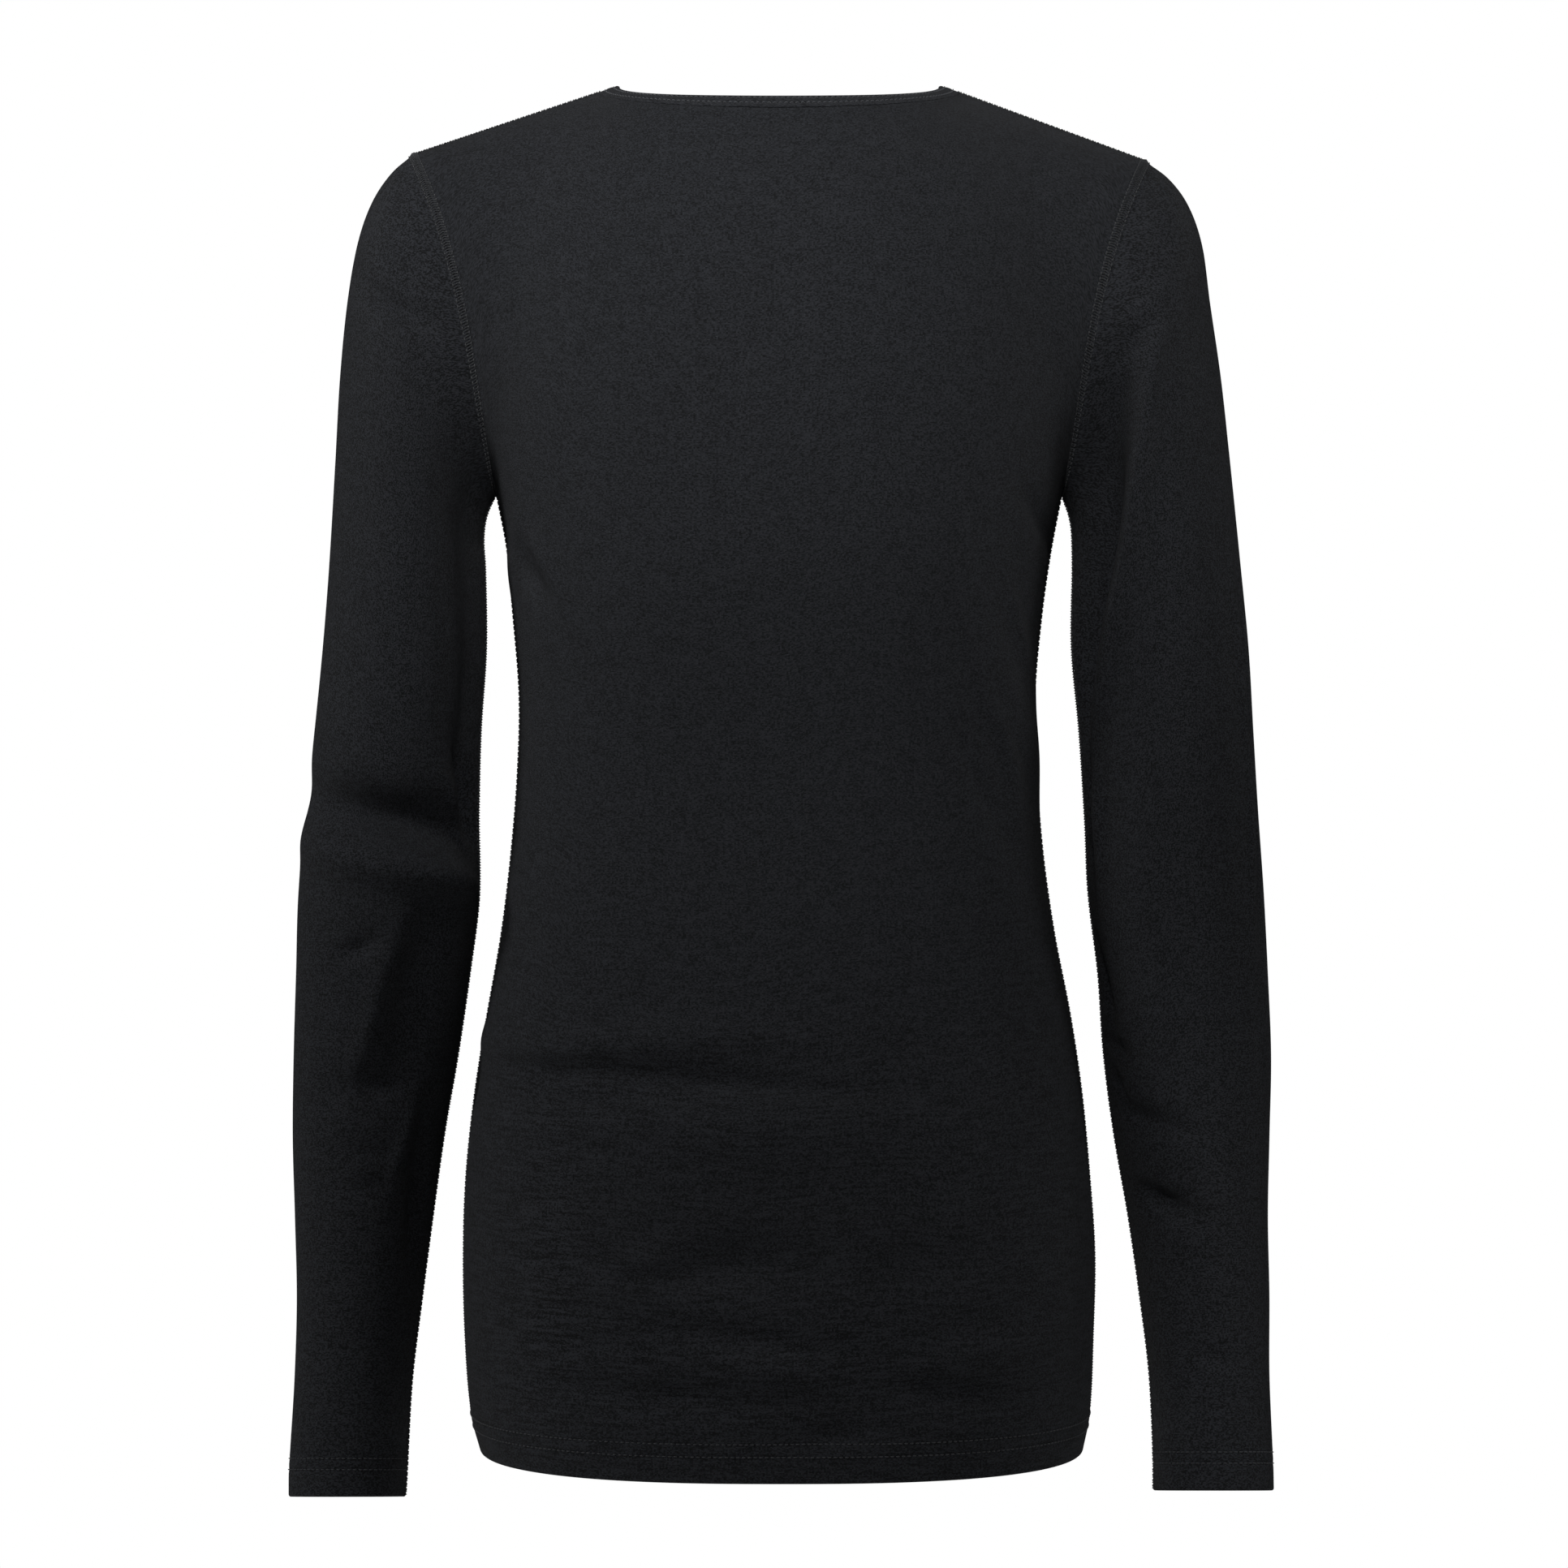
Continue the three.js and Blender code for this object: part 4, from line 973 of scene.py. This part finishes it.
# Hem and cuff stitching
# Twin-needle rows hold the turned-up edges. The two rows lie 5.8 mm apart at the hem and 5.4 mm apart at
# the cuffs, and the thread is close to the colour of the cloth.
hem_thread = polyester_thread("spun polyester thread, hems", "#36383c")
for name, grid, normals in (("back", back_outer, back_out), ("front", front_outer, front_out)):
    rows = [HEM_STEPS.index(row) for row in HEM_ROWS]
    parts = [needle_row(grid[row], normals[row]) for row in rows]
    sewing("hem_stitching_" + name, hem_thread, *parts)
cuff_sewing = {}
for name, (piece, outer, out) in sleeves.items():
    rows = [-1 - CUFF_STEPS.index(row) for row in CUFF_ROWS]
    parts = [needle_row(outer[row], out[row]) for row in rows]
    cuff_sewing[name] = sewing("cuff_stitching_" + name, hem_thread, *parts)

for name, (piece, outer, out) in sleeves.items():
    sewn = [cuff_sewing[name], seam_sewing["armhole_" + name], seam_sewing["underarm_" + name]]


# Studio
# The top hangs free before a white ground. Soft lamps stand above it and at both sides, the left one the
# stronger, so that level creases show by their shade. Two narrow ones light the upper back and the lower part
# of the right sleeve.
CAMERA = {"x": 0.00232, "distance": 2.45, "z": -0.332, "sensor": 36, "lens": 118.27}
FLOOR_Z = -0.95
FLOOR_REACH = 1.35
AMBIENT = 0.03  # light from all round, beside the lamps
world = bpy.data.worlds.new("white studio")
bpy.context.scene.world = world
world.use_nodes = True
world.node_tree.nodes.clear()
tree = world.node_tree
soft = add_node(tree, "Background", {}, {"Color": (1, 1, 1, 1), "Strength": AMBIENT}).outputs[0]
white = add_node(tree, "Background", {}, {"Color": (1, 1, 1, 1), "Strength": 1}).outputs[0]
seen = add_node(tree, "LightPath").outputs["Is Camera Ray"]
ground = add_node(tree, "MixShader", {}, {}, {0: seen, 1: soft, 2: white})
add_node(tree, "OutputWorld", {}, {}, {"Surface": ground.outputs[0]})

# White paper: an even, matt ground with the faintest mottle
floor_material, tree = new_material("white paper")
grain = add_node(tree, "TexNoise", {}, {"Scale": 40}).outputs[0]
shades = {6: rgb("#eeeeee"), 7: rgb("#f4f4f4")}
tint = add_node(tree, "Mix", {"data_type": "RGBA"}, shades, {0: grain}).outputs[2]
paper = add_node(tree, "BsdfPrincipled", {}, {"Roughness": 0.9}, {"Base Color": tint})
add_node(tree, "OutputMaterial", {}, {}, {"Surface": paper.outputs[0]})
floor_mesh = bpy.data.meshes.new("floor")
corners = [(side * FLOOR_REACH, end * FLOOR_REACH, 0) for side, end in ((-1, -1), (1, -1), (1, 1), (-1, 1))]
floor_mesh.from_pydata(corners, [], [(0, 1, 2, 3)])
floor_mesh.materials.append(floor_material)
floor = bpy.data.objects.new("floor", floor_mesh)
floor.location.z = FLOOR_Z
bpy.context.scene.collection.objects.link(floor)

# Each lamp's place, the point that it is turned to, its size, its power and, for a spot, its width in degrees
LAMPS = (
    ("key", (-0.25, -1.6, 1.6), (0, 0, -0.45), 0.35, 4.9, None),
    ("upper back", (0, -1.9, 0.85), (0, 0, -0.06), 0.08, 66, 21),
    ("left", (-1.6, -0.9, 0.8), (0, 0, -0.5), 0.5, 12, None),
    ("right", (1.9, -0.4, 0.3), (0.1, 0, -0.5), 0.5, 4, None),
    ("lower right", (-0.6, -1.6, 0.9), (0.36, 0, -0.68), 0.04, 85, 11),
)
for name, place, target, size, power, width in LAMPS:
    lamp = bpy.data.lights.new(name, "AREA" if width is None else "SPOT")
    lamp.energy = power
    if width is None:
        lamp.size = size
    else:
        lamp.shadow_soft_size, lamp.spot_size, lamp.spot_blend = size, math.radians(width), 1
    light = bpy.data.objects.new(name, lamp)
    light.location = place
    aim = np.array(target) - np.array(place)
    light.rotation_euler = (math.atan2(math.hypot(aim[0], aim[1]), -aim[2]), 0, math.atan2(-aim[0], aim[1]))
    bpy.context.scene.collection.objects.link(light)

camera_data = bpy.data.cameras.new("camera")
camera_data.sensor_width = CAMERA["sensor"]
camera_data.lens = CAMERA["lens"]
camera = bpy.data.objects.new("camera", camera_data)
camera.location = (CAMERA["x"], -CAMERA["distance"], CAMERA["z"])
camera.rotation_euler = (math.radians(90), 0, 0)
bpy.context.scene.collection.objects.link(camera)
bpy.context.scene.camera = camera
bpy.context.scene.view_settings.view_transform = "Standard"
